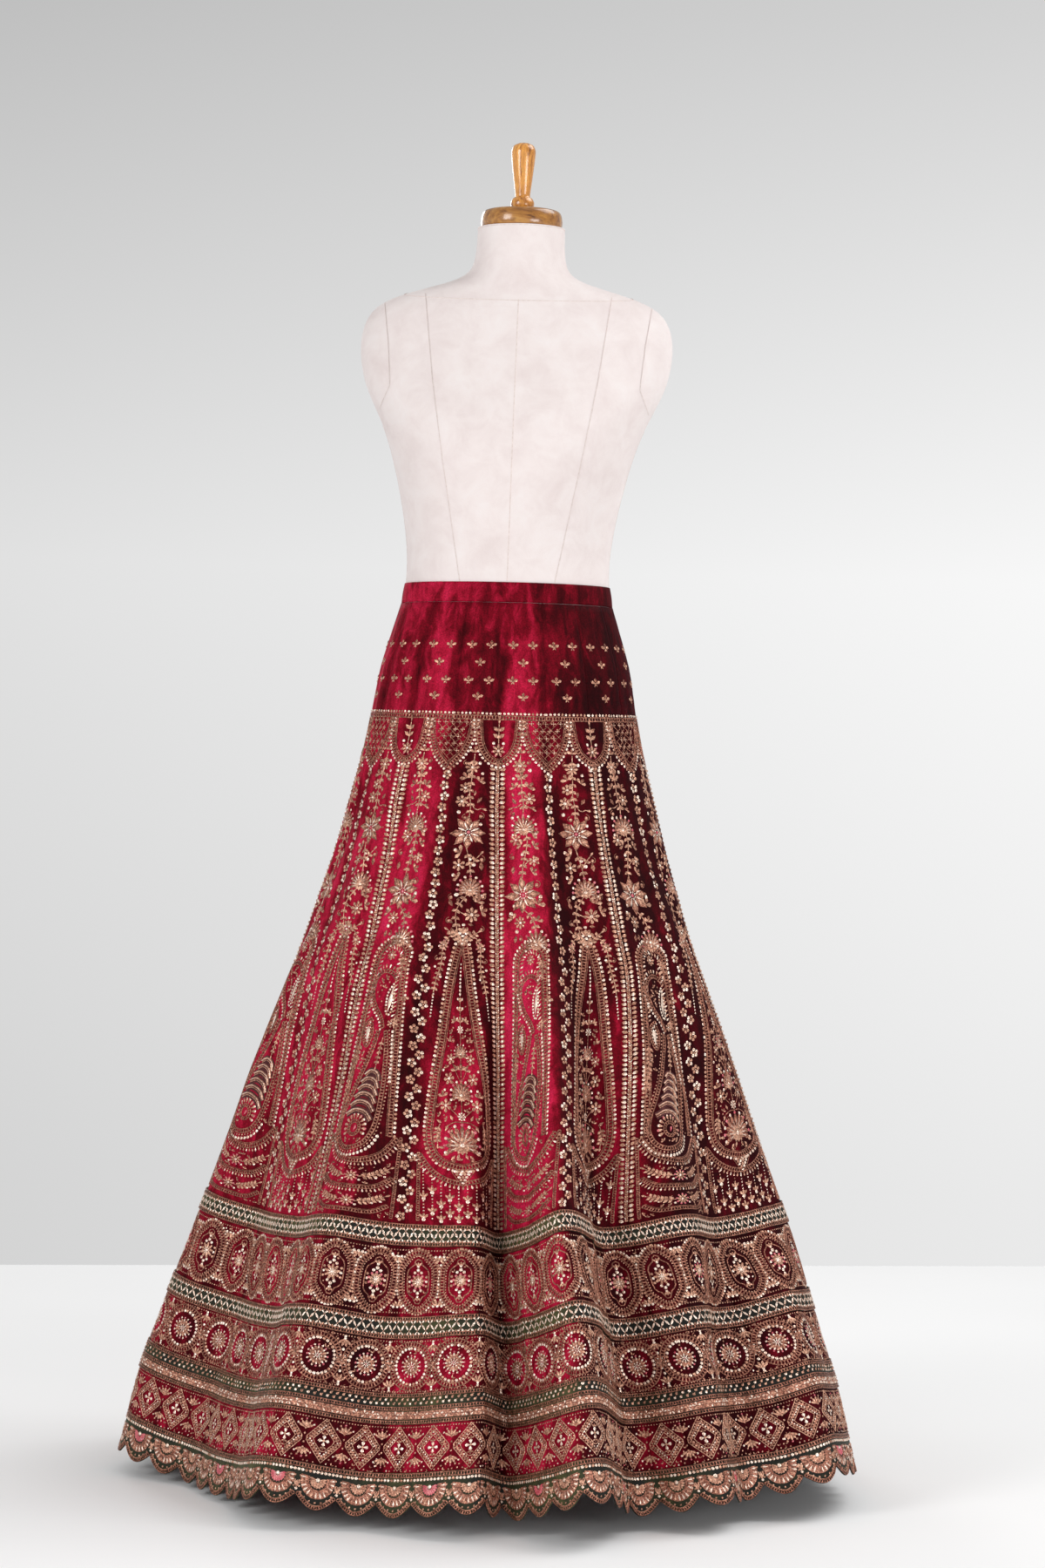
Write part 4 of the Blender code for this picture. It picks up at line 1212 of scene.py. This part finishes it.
def velvet_material():
    """Silk velvet with a deep pile, whose colour carries painted light: painted shade where the cloth turns
    from the key light and painted highlight where it turns to it.
    """
    n = Nodes("crimson_velvet")
    where = n.coordinates()
    long = n.coordinates((1, 1, 0.45))
    crush = n.noise(long, 52, 5, 0.7, 1.2)
    broad = n.noise(long, 11, 2, 0.5, 0.8)
    streak = n.noise(n.coordinates((1, 1, 0.16)), 70, 2, 0.5, 0.5)
    # The painted light and shade stored on the cloth, with crushed-pile noise added to it.
    total = n.add("ShaderNodeAttribute", attribute_name="painted_light").outputs["Fac"]
    for noise, amount in ((crush, 0.45), (broad, 0.175), (streak, 0.32)):
        total = n.added(noise, amount, total)
    speck = n.ramp(n.noise(where, 620, 2, 0.6), (0.32, 0.56), (0.68, 1.16))
    n.colour(n.multiplied(n.ramp(total, *VELVET_SHADE_TO_LIGHT), speck))
    n.bump(n.noise(where, 420, 3, 0.6), 0.35, 0.0012)
    n.set(Roughness=0.75, Specular_IOR_Level=0.06)
    return n.set(Sheen_Weight=0.08, Sheen_Roughness=0.3, Sheen_Tint=(0.8, 0.03, 0.1, 1))


def band_material():
    """Dark green silk under the borders' embroidery, with a fine cross weave, and painted light and shade
    from the cloth's stored value.
    """
    n = Nodes("green_band_silk")
    where = n.coordinates()
    # The painted light and shade stored on the band.
    painted_light = n.add("ShaderNodeAttribute", attribute_name="painted_light").outputs["Fac"]
    n.colour(n.ramp(n.added(n.noise(where, 60, 3, 0.6, 0.6), 0.4, painted_light), *GREEN_SHADE_TO_LIGHT))
    wave = n.add("ShaderNodeTexWave", Vector=where, Scale=420, Distortion=1)
    n.bump(wave.outputs["Fac"], 0.25, 0.0006)
    n.set(Roughness=0.65, Specular_IOR_Level=0.25)
    return n.set(Sheen_Weight=0.08, Sheen_Roughness=0.4, Sheen_Tint=(0.6, 0.65, 0.3, 1))


def metal_material(name, dark, light, roughness, metallic, coil_shade=0):
    """Metal thread or beads: two tones, with fine twists, and painted shade in the gaps between coiled
    stitches.
    """
    n = Nodes(name)
    where = n.coordinates()
    colour = n.ramp(n.noise(where, 240, 3, 0.7), (0.36, dark), (0.64, light))
    if coil_shade:
        # Painted shade in the gaps between the coils of each stitch.
        coils = n.add("ShaderNodeTexVoronoi", Vector=where, Scale=560)
        shade = n.ramp(coils.outputs["Distance"], (0.28, 1), (0.66, 1 - coil_shade))
        colour = n.multiplied(colour, shade)
    n.colour(colour)
    n.roughness(n.noise(where, 350, 2), roughness - 0.08, roughness + 0.14)
    n.bump(n.noise(where, 1400, 2), 0.4, 0.0004)
    return n.set(Metallic=metallic, Specular_IOR_Level=0.3)


def stone_material():
    n = Nodes("pink_stones")
    where = n.coordinates()
    tone = n.noise(where, 180, 2, 0.6)
    n.colour(n.ramp(tone, (0.35, (0.44, 0.042, 0.07)), (0.65, (0.68, 0.15, 0.17))))
    n.bump(n.noise(where, 700, 1), 0.3, 0.0004)
    return n.set(Roughness=0.22, Specular_IOR_Level=0.7)


def cover_material():
    """The form's cotton cover: a fine matt weave, faintly mottled."""
    n = Nodes("form_cover_cotton")
    where = n.coordinates()
    colour = n.ramp(n.noise(where, 26, 5, 0.65, 0.4), *COVER_TONES)
    threads = n.add("ShaderNodeTexWave", Vector=where, Scale=520, Distortion=2, bands_direction="Z")
    n.colour(n.multiplied(colour, threads.outputs["Color"], 0.06))
    n.bump(n.noise(where, 1100, 2), 0.25, 0.0008)
    return n.set(Roughness=0.92, Specular_IOR_Level=0.15, Sheen_Weight=0.15)


def seam_thread_material():
    n = Nodes("cover_seam_thread")
    tone = n.noise(n.coordinates(), 300, 2)
    n.colour(n.ramp(tone, (0.3, (0.62, 0.52, 0.49)), (0.7, (0.74, 0.65, 0.62))))
    n.bump(tone, 0.3, 0.0004)
    return n.set(Roughness=0.9)


WOOD_TONES = (
    (0.3, (0.12, 0.036, 0.006)), (0.42, (0.33, 0.125, 0.02)), (0.58, (0.5, 0.22, 0.04)),
    (0.75, (0.62, 0.33, 0.085)),
)


def wood_material(name, stretch, scale, lightness):
    """Varnished golden-brown wood with streaks along its grain."""
    n = Nodes(name)
    where = n.coordinates(stretch)
    grain = n.noise(where, scale, 6, 0.6, 1.8)
    tones = ((place, tuple(lightness * level for level in tone)) for place, tone in WOOD_TONES)
    pores = n.ramp(n.noise(where, scale * 9, 2), (0.32, 0.45), (0.45, 1))
    n.colour(n.multiplied(n.ramp(grain, *tones), pores, 0.5))
    n.bump(grain, 0.08, 0.001)
    return n.set(Roughness=0.26, Coat_Weight=0.6, Coat_Roughness=0.12)


def steel_material():
    n = Nodes("painted_steel")
    where = n.coordinates((1, 1, 0.1))
    tone = n.noise(where, 160, 3)
    n.colour(n.ramp(tone, (0.3, (0.52, 0.52, 0.53)), (0.7, (0.64, 0.64, 0.65))))
    n.roughness(n.noise(where, 60), 0.22, 0.4)
    n.bump(tone, 0.05, 0.0005)
    return n.set(Metallic=1)


def floor_material():
    n = Nodes("studio_floor")
    where = n.coordinates()
    n.colour(n.ramp(n.noise(where, 0.8, 2), (0.3, 0.86), (0.7, 0.9)))
    n.bump(n.noise(where, 240, 2), 0.05, 0.0005)
    return n.set(Roughness=0.9, Specular_IOR_Level=0.15)


VELVET = velvet_material()
GREEN_SILK = band_material()
THREADS = [
    metal_material("antique_gold_cord", (0.25, 0.08, 0.048), (0.7, 0.3, 0.198), 0.45, 0.35, coil_shade=0.66),
    metal_material("gold_leaf_thread", (0.42, 0.164, 0.102), (1, 0.57, 0.39), 0.38, 0.45, coil_shade=0.54),
    metal_material("bright_sequins", (0.64, 0.395, 0.29), (1, 0.85, 0.72), 0.22, 0.5),
    stone_material(),
    metal_material("dark_thread_and_painted_shadow", (0.04, 0.006, 0.008), (0.1, 0.02, 0.018), 0.6, 0.2),
]


# ---- the cloth, and the light and shade painted on it
# The way towards the key light, which the painted light on the cloth follows.
TOWARDS_LIGHT = (-0.96, -0.25, 0.08)


def painted_facing_light(out, round_about):
    """Painted light on the pile: brightest where the cloth, or a fold of it, is turned to the left, towards
    the key light, and painted shade where it turns away.
    """
    left = np.stack((round_about[..., 1], -round_about[..., 0], 0 * round_about[..., 0]), -1)
    shown = 0.5 + 0.42 * (out @ unit(np.array(TOWARDS_LIGHT))) + 0.28 * (out * left).sum(-1)
    return np.clip(shown, 0, 1)


# Patches of painted light and painted shade, lighter where folds catch the light and darker where they turn
# from it:
# the seam number and drop of the middle, half the width in kalis, half the length in metres, and how much
# lighter (or darker) it is.
PAINTED_LIGHT_PATCHES = (
    (-0.5, 0.28, 0.44, 0.2, -0.34), (-0.5, 0.62, 0.42, 0.12, 0.42), (0.5, 0.34, 0.42, 0.34, 0.3),
    (1.06, 0.58, 0.13, 0.14, 0.4), (-1.5, 0.26, 0.42, 0.22, 0.26), (-1.2, 0.58, 0.3, 0.16, -0.3),
    (-2.4, 0.4, 0.46, 0.26, 0.12), (-3.4, 0.46, 0.5, 0.3, 0.08), (1.5, 0.4, 0.44, 0.46, -0.34),
    (2.5, 0.42, 0.56, 0.56, -0.54), (2.96, 0.36, 0.1, 0.2, 0.34), (3.6, 0.5, 0.6, 0.6, -0.48),
    (1.6, 0.92, 0.5, 0.12, -0.26), (2.6, 0.92, 0.7, 0.22, -0.5), (-1.5, 0.9, 0.42, 0.13, -0.18),
    (-0.5, 0.93, 0.4, 0.13, 0.1), (0.12, 0.98, 0.2, 0.16, -0.2),
)
# Painted shade along each seam and how far it reaches, and painted shade over the lower borders.
SEAM_SHADE, SEAM_REACH = 0.2, 0.0075
BORDER_SHADE = 0.16
# Where the painted light sits on the velvet's tones, and how far it spreads.
PAINTED_LIGHT_MIDDLE, PAINTED_LIGHT_SHARE = 0.17, 0.3


def painted_light_of(seam, drop):
    """Painted light and shade on the cloth: from how the folds face the key light, from the painted patches,
    with painted shade along each seam and over the lower borders.
    """
    angle = 2 * np.pi * seam / KALI_COUNT
    round_about = np.stack((np.sin(angle), -np.cos(angle), 0 * angle), -1)
    painted_light = painted_facing_light(unit(blended(SKIRT_OUT, seam, drop)), round_about)
    for middle, low, across, along, change in PAINTED_LIGHT_PATCHES:
        aside = kalis_apart(seam, middle)
        painted_light = painted_light + change * np.exp(-np.abs(aside / across) ** 3 - ((drop - low) / along) ** 2)
    to_seam = from_seam(seam, gore_width(drop))
    painted_light = painted_light - SEAM_SHADE * np.exp(-((to_seam / SEAM_REACH) ** 2))
    painted_light = painted_light - BORDER_SHADE * np.clip((drop - 0.74) / 0.06, 0, 1)
    return PAINTED_LIGHT_MIDDLE + PAINTED_LIGHT_SHARE * (painted_light - 0.5)


# Stores the painted light and shade of each point on the mesh.
def set_painted_light(obj, values):
    painted_light = obj.data.attributes.new("painted_light", "FLOAT", "POINT")
    painted_light.data.foreach_set("value", np.ravel(values).astype(np.float32))


def cloth_wall(name, seams, drops, outer, thickness, wraps, material):
    """A thin closed shell that lies on the skirt's form, outer millimetres off it."""
    seam, drop = np.meshgrid(seams, drops) if drops.ndim == 1 else np.broadcast_arrays(seams, drops)
    sheets = [on_cloth(seam, drop, 0 * seam + 0.001 * lift) for lift in (outer, outer - thickness)]
    points = np.concatenate([sheet.reshape(-1, 3) for sheet in sheets])
    obj = fast_mesh(name, points, wall_triangles(*seam.shape, wraps), [material])
    # Painted light and shade at each point of both sheets.
    set_painted_light(obj, np.tile(painted_light_of(seam, drop).ravel(), 2))
    return obj


PANEL_DROPS = np.append(DROPS[DROPS < HEM_BORDER_TOP - 0.004], HEM_BORDER_TOP)
VELVET_THICK, BAND_LIFT, BAND_THICK = 1.8, 1.7, 1.4
BANDS = (("band_upper", 0.764, 0.79), ("band_middle", 0.873, 0.899), ("band_lower", 0.962, 0.998))
COLUMNS = np.arange(SEAM_STEPS + 1) / SEAM_STEPS
ALL_ROUND = np.arange(KALI_COUNT * SEAM_STEPS) / SEAM_STEPS
# How much lower than drawn the motifs sit: of a teardrop panel, of a mango panel, and the vines,
# up to a height of 700, and then what all of them share.
TEARDROP_LOWER, MANGO_LOWER, VINE_LOWER = 9, 28, 22
COLUMN_FOOT, CHAIN_TOP, WHEAT_TOP = 345, 896, 902
FRONT_MANGO_SHARE = 0.82


def settled(low):
    """How the motifs of a panel are moved down, by their height."""
    return lambda y: y - np.interp(y, (345, 435, 700, 780, 980), (0, low, low, 24, 30))


def sew_panel(number):
    """The embroidery on one kali's velvet, and that of the seam on its left."""
    chained = number % 2 == 1
    st = Stitching(100 + number, number + 0.5)
    if chained:
        st.settle = settled(TEARDROP_LOWER)
        teardrop_panel(st)
        st.settle = settled(VINE_LOWER)
        vine(st, VINE_STAR_HIGH, STEM_STAR_HIGH)
    else:
        st.settle = settled(MANGO_LOWER)
        paisley_panel(st, FRONT_MANGO_SHARE if number == 0 else 1)
        vine(st, VINE_LOTUS_HIGH, STEM_LOTUS_HIGH)
    for draw in (garland_top, cartouches, medallions, diamonds):
        draw(st)
    st.seam = number
    st.settle = None
    if chained:
        flower_chain(st, COLUMN_FOOT, CHAIN_TOP)
    else:
        wheat_column(st, COLUMN_FOOT, WHEAT_TOP)
    st.settle = settled(VINE_LOWER)
    (shield_pendant if chained else arch_pendant)(st)
    return st.piece(f"embroidery_{number + 1:02d}")


def sew_borders(number):
    """The stitches over the green bands of one kali, and the fans of its hem."""
    st = Stitching(300 + number, number + 0.5)
    st.base = 2
    lattice(st, 315, 341)
    lattice(st, 206, 232)
    twin_rows(st, 107, 143)
    st.base = 0.25
    hem_fans(st)
    return st.piece(f"border_stitches_{number + 1:02d}")


def dress_skirt():
    for number in range(KALI_COUNT):
        columns = number + COLUMNS
        panel = cloth_wall(f"velvet_{number + 1:02d}", columns, PANEL_DROPS, 0, VELVET_THICK, False, VELVET)
        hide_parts(f"kali_{number + 1:02d}")
        stitches = sew_panel(number)
        sew_borders(number)
    for name, top, bottom in BANDS:
        drops = np.linspace(top, bottom, 4)
        band = cloth_wall(f"{name}_silk", ALL_ROUND, drops, BAND_LIFT, BAND_THICK, True, GREEN_SILK)
        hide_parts(name)
    steps = np.arange(KALI_COUNT * SCALLOPS_PER_KALI * 10) / (SCALLOPS_PER_KALI * 10)
    low = SKIRT_LENGTH - SCALLOP_DEPTH * (1 - np.sin(np.pi * ((steps * SCALLOPS_PER_KALI) % 1)))
    share = np.linspace(0, 1, 6)[:, None]
    drops = HEM_BORDER_TOP * (1 - share) + low[None, :] * share
    hem = cloth_wall("hem_border_silk", steps, drops, 0, VELVET_THICK, True, GREEN_SILK)
    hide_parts("hem_border")


# ---- the dress form
# Height, half width, depth in front and behind, how far back it stands, and how square it is.
FORM = (
    (0.8, 0.15, 0.112, 0.115, 0, 2), (0.812, 0.162, 0.121, 0.122, 0, 2), (0.85, 0.169, 0.124, 0.126, 0, 2),
    (0.9, 0.166, 0.121, 0.123, 0, 2), (0.95, 0.1565, 0.113, 0.114, 0, 2), (1, 0.147, 0.105, 0.106, 0, 2),
    (1.0804, 0.1285, 0.094, 0.094, 0, 2), (1.105, 0.125, 0.0915, 0.0915, 0, 2),
    (1.14, 0.124, 0.093, 0.09, 0, 2), (1.19, 0.131, 0.105, 0.093, 0, 2),
    (1.24, 0.142, 0.122, 0.097, 0, 2.1), (1.29, 0.156, 0.124, 0.101, 0, 2.2),
    (1.325, 0.174, 0.112, 0.102, 0.002, 2.3), (1.355, 0.188, 0.098, 0.1, 0.004, 2.3),
    (1.39, 0.1945, 0.084, 0.095, 0.006, 2.2), (1.42, 0.193, 0.073, 0.088, 0.008, 2.1),
    (1.445, 0.182, 0.064, 0.078, 0.01, 2), (1.46, 0.158, 0.058, 0.068, 0.012, 2),
    (1.472, 0.118, 0.054, 0.06, 0.012, 2), (1.482, 0.08, 0.052, 0.055, 0.012, 2),
    (1.495, 0.058, 0.051, 0.052, 0.011, 2), (1.52, 0.0545, 0.05, 0.05, 0.009, 2),
    (1.549, 0.054, 0.0495, 0.0495, 0.008, 2),
)
FORM_SIDES, WAIST_ROWS = 120, 8
LEAN_FROM, LEAN_TO, LEAN = 1.11, 1.656, 0.009


def lean_at(height):
    """How far the form leans to its left at a height."""
    return np.interp(height, (LEAN_FROM, LEAN_TO), (0, LEAN))


def form_surface():
    """Rings of points up the form, closer together and softer than the table's rows."""
    table = np.array(FORM)
    fine = np.linspace(0, len(table) - 1, (len(table) - 1) * 5 + 1)
    rows = np.stack([np.interp(fine, np.arange(len(table)), table[:, i]) for i in range(6)], 1)
    for _ in range(10):
        rows[1:-1] = 0.25 * rows[:-2] + 0.5 * rows[1:-1] + 0.25 * rows[2:]
    turn = np.radians(np.arange(FORM_SIDES) * 360 / FORM_SIDES)
    side, ahead = np.sin(turn)[None], -np.cos(turn)[None]
    height, wide, front, back, moved, square = (rows[:, i : i + 1] for i in range(6))
    x = np.sign(side) * np.abs(side) ** (2 / square) * wide
    y = np.sign(ahead) * np.abs(ahead) ** (2 / square) * np.where(ahead < 0, front, back) + moved
    x = x + lean_at(height)
    return np.stack((x, y, np.broadcast_to(height, x.shape)), 2)


FORM_RINGS = form_surface()


def lathe(name, outline, centre, sides, material, node):
    """A turned piece from its outline of radius and height, crown first."""
    radius, height = np.asarray(outline, float).T[..., None]
    turn = 2 * np.pi * np.arange(sides) / sides
    rings = np.stack((radius * np.sin(turn), -radius * np.cos(turn), height + 0 * turn), 2) + centre
    obj = fast_mesh(name, *ringed_solid(rings), [material])
    obj.data.set_sharp_from_angle(angle=math.radians(42))
    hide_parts(node)


def on_form(angle, height):
    """A point of the form's surface at an angle round from the front, in degrees, and a height."""
    heights = FORM_RINGS[:, 0, 2]
    row = np.interp(height, heights, np.arange(len(heights)))
    column = (angle * FORM_SIDES / 360) % FORM_SIDES
    low, left = int(min(row, len(heights) - 2)), int(column)
    up, side = row - low, column - left
    right = (left + 1) % FORM_SIDES
    below, above = (
        FORM_RINGS[low + i, left] * (1 - side) + FORM_RINGS[low + i, right] * side for i in (0, 1)
    )
    return below * (1 - up) + above * up


def angle_at(aside, height, back=False):
    """The angle on the form where its surface lies this far aside from its middle."""
    angles = np.arange(0, 91, 1)
    reach = [abs(on_form(180 - a if back else a, height)[0] - lean_at(height)) for a in angles]
    found = float(np.interp(min(abs(aside), max(reach) - 1e-4), reach, angles))
    found = 180 - found if back else found
    return math.copysign(found, aside) if aside else found


def ridge(points, centre_line, width, height):
    """A low raised line that follows points on a rounded surface."""
    points = np.asarray(points, float)
    away = unit((points - centre_line) * (1, 1, 0.35))
    along = unit(np.gradient(points, axis=0))
    aside = unit(np.cross(along, away))
    rows = np.stack((points - 0.5 * width * aside, points + height * away, points + 0.5 * width * aside), 1)
    base = np.arange(len(points) - 1)[:, None, None] * 3
    faces = (base + np.array([(0, 4, 1), (0, 3, 4), (1, 5, 2), (1, 4, 5)])[None]).reshape(-1, 3)
    return rows.reshape(-1, 3), faces


def seam_routes():
    """The cover's seams: centre front and back, princess seams, sides, armholes, and round the neck."""
    foot = 1.106
    routes = [[on_form(0, z) for z in np.linspace(1.455, foot, 60)]]
    routes.append([on_form(180, z) for z in np.linspace(1.48, foot, 60)])
    princess = np.linspace(1.462, foot, 70)
    princess_aside = np.interp(princess, (foot, 1.25, 1.352, 1.462), (0.058, 0.084, 0.101, 0.115))
    armhole = np.linspace(1.452, 1.318, 46)
    armhole_aside = np.interp(armhole, (1.318, 1.345, 1.4, 1.452), (0.1655, 0.153, 0.158, 0.1655))

    def followed(side, back, aside, heights):
        return [on_form(angle_at(side * x, z, back), z) for x, z in zip(aside, heights)]

    for side in (-1, 1):
        routes += [followed(side, back, princess_aside, princess) for back in (False, True)]
        routes.append([on_form(side * 90, z) for z in np.linspace(1.3, foot, 40)])
        front, behind = (followed(side, back, armhole_aside, armhole) for back in (False, True))
        routes.append(front + behind[::-1])
    turn = np.linspace(0, 360, 91)
    routes.append([on_form(t, 1.466 - 0.013 * math.cos(math.radians(t))) for t in turn])
    routes.append([on_form(t, 1.5475) for t in turn])
    return [np.array(route) for route in routes]


def make_form():
    points, faces = ringed_solid(FORM_RINGS)
    body = fast_mesh("form_cover", points, faces[:, ::-1], [cover_material()])
    body.data.set_sharp_from_angle(angle=math.radians(60))
    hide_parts("form_body")
    all_points, all_faces, count = [], [], 0
    for route in seam_routes():
        middle = np.stack((0 * route[:, 2] + 0.5 * LEAN, 0 * route[:, 2], route[:, 2]), 1)
        rows, faces = ridge(route, middle, 0.0014, 0.0005)
        all_points.append(rows)
        all_faces.append(faces + count)
        count += len(rows)
    points, faces = np.concatenate(all_points), np.concatenate(all_faces)
    seams = fast_mesh("form_cover_seams", points, faces, [seam_thread_material()])


# Outlines of radius and height, crown first.
CAP = (
    (0, 0.022), (0.03, 0.022), (0.042, 0.0217), (0.047, 0.02), (0.0495, 0.016), (0.0506, 0.01),
    (0.0508, 0.005), (0.05, 0.001),
)
CAP_FOOT = (0.049, 0)
KNOB = (
    (0.007, 0.0834), (0.0122, 0.0805), (0.0148, 0.075), (0.015, 0.069), (0.0138, 0.056), (0.0115, 0.037),
    (0.0097, 0.023), (0.0094, 0.017), (0.0122, 0.0147), (0.0144, 0.0105), (0.0145, 0.0058),
    (0.013, 0.002), (0.012, 0),
)
CAP_Z, KNOB_Z, NECK_Y = 1.5493, 1.5716, 0.008


def make_turned_parts():
    """The wooden cap on the neck and the knob on it."""
    outline = np.concatenate((rounded(CAP, 3)[1:], [CAP_FOOT]))
    wood = wood_material("cap_wood", (1, 3.4, 3.4), 16, 0.82)
    lathe("turned_cap", outline, (lean_at(CAP_Z), NECK_Y, CAP_Z), 96, wood, "form_cap")
    wood = wood_material("knob_wood", (3.6, 3.6, 0.8), 22, 1.45)
    lathe("turned_knob", rounded(KNOB, 4), (lean_at(KNOB_Z), NECK_Y, KNOB_Z), 64, wood, "form_knob")


def paint_stand():
    steel = steel_material()
    for name in ("stand_pole", "stand_base"):
        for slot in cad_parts[name].material_slots:
            slot.material = steel


def make_waistband():
    """The velvet band round the waist, slightly swollen, against the form."""
    rows = np.linspace(1.105, 1.0804, WAIST_ROWS)
    turn = np.radians(np.arange(FORM_SIDES) * 360 / FORM_SIDES)
    table = np.array(FORM)
    wide, front, back = (np.interp(rows, table[:, 0], table[:, i])[:, None] for i in (1, 2, 3))
    side, ahead = np.sin(turn)[None], -np.cos(turn)[None]
    swell = 0.0006 * np.sin(np.linspace(0, np.pi, WAIST_ROWS))[:, None]
    walls = []
    for off in (0.0023 + swell, 0.0003 + swell):
        depth = np.where(ahead < 0, front + off, back + off)
        walls.append(
            np.stack(((wide + off) * side, depth * ahead, rows[:, None] + 0 * side), 2).reshape(-1, 3)
        )
    faces = wall_triangles(WAIST_ROWS, FORM_SIDES, True)
    band = fast_mesh("velvet_waistband", np.concatenate(walls), faces, [VELVET])
    out = unit(np.stack((side / 0.126, ahead / 0.093, 0 * side), 2))[0]
    # Painted light and shade on the waistband, from how it faces the key light.
    set_painted_light(band, np.tile(PAINTED_LIGHT_MIDDLE + PAINTED_LIGHT_SHARE * (painted_facing_light(out, out) - 0.5), 2 * WAIST_ROWS))
    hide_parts("waistband")


# ---- the stage, the lights and the camera
FLOOR_X, FLOOR_FRONT, FLOOR_BACK, FLOOR_SKEW = 10, -10, 2.11, 0.177


def make_stage():
    """A plain pale floor, whose far edge is the horizon."""
    xs, ys = np.linspace(-FLOOR_X, FLOOR_X, 21), np.linspace(FLOOR_FRONT, FLOOR_BACK, 14)
    points = np.array([(x, y + FLOOR_SKEW * x, 0) for y in ys for x in xs])
    index = np.arange(len(points)).reshape(len(ys), len(xs))
    faces = strips(index[:-1], index[1:])[:, ::-1]
    mesh_object("studio_floor", points, faces, [floor_material()])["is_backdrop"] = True


def aim(obj, target):
    way = np.array(target, float) - np.array(obj.location)
    obj.rotation_euler = (
        math.atan2(math.hypot(way[0], way[1]), -way[2]), 0, math.atan2(way[1], way[0]) - math.pi / 2
    )


# Name, place, what it points at, width and height, and watts.
LIGHTS = (
    ("key", (-3, -3.4, 2.2), (0, 0, 0.75), (1.6, 2), 85),
    ("right_fill", (2.7, -3.5, 0.9), (0.1, 0, 0.2), (1.8, 1.4), 64),
    ("floor_wash", (2.8, 0.6, 4), (2.4, 0.6, 0), (3.2, 3), 112),
    ("back_fill", (-1.8, 4.4, 2.4), (0, 0, 0.9), (1.5, 1.5), 40),
)
# How bright the surroundings are, from below to above and from left to right.
UPRIGHT = ((0, 0.55), (0.45, 0.72), (0.527, 0.82), (0.6, 0.56), (0.72, 0.46), (1, 0.6))
SIDEWAYS = ((0, 0.95), (0.3, 0.82), (0.433, 0.85), (0.567, 1.06), (0.7, 0.8), (1, 0.62))
SURROUNDINGS = 1.08
CAMERA_PLACE, CAMERA_ROLL = (0.0245, -4.8, 0.86), -1.34
SENSOR_HEIGHT, LENS, CLIP_END = 36, 88.9, 60


def area_light(name, place, target, size, power):
    data = bpy.data.lights.new(name, "AREA")
    data.shape = "RECTANGLE"
    data.size, data.size_y = size
    data.energy = power
    light = bpy.data.objects.new(name, data)
    light.location = place
    light.visible_camera = False
    aim(light, target)
    bpy.context.scene.collection.objects.link(light)


def studio_world():
    """Soft studio light from all round, brighter low down and to the left, paler behind."""
    n = Nodes("studio", "worlds", "Background")
    way = n.add("ShaderNodeSeparateXYZ", Vector=n.add("ShaderNodeTexCoord").outputs["Generated"])
    grades = []
    for axis, stops in (("Z", UPRIGHT), ("X", SIDEWAYS)):
        half = n.add("ShaderNodeMapRange", Value=way.outputs[axis], From_Min=-1)
        grades.append(n.ramp(half.outputs["Result"], *stops))
    n.link(n.multiplied(*grades), n.shader.inputs["Color"])
    bpy.context.scene.world = n.set(Strength=SURROUNDINGS)


def light_and_frame():
    studio_world()
    bpy.context.scene.view_settings.view_transform = "Standard"
    for light in LIGHTS:
        area_light(*light)
    camera = bpy.data.cameras.new("photo_view")
    camera.sensor_fit = "VERTICAL"
    camera.sensor_height = SENSOR_HEIGHT
    camera.lens = LENS
    camera.clip_end = CLIP_END
    holder = bpy.data.objects.new("photo_view", camera)
    holder.location = CAMERA_PLACE
    holder.rotation_euler = (math.radians(90), math.radians(CAMERA_ROLL), 0)
    bpy.context.scene.collection.objects.link(holder)
    bpy.context.scene.camera = holder


light_and_frame()
dress_skirt()
make_form()
make_turned_parts()
paint_stand()
make_waistband()
make_stage()


def plain(value):
    return [plain(v) for v in value] if hasattr(value, "__len__") else float(value)


{"cad": plain(CAD_BOX), "visual": plain(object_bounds())}
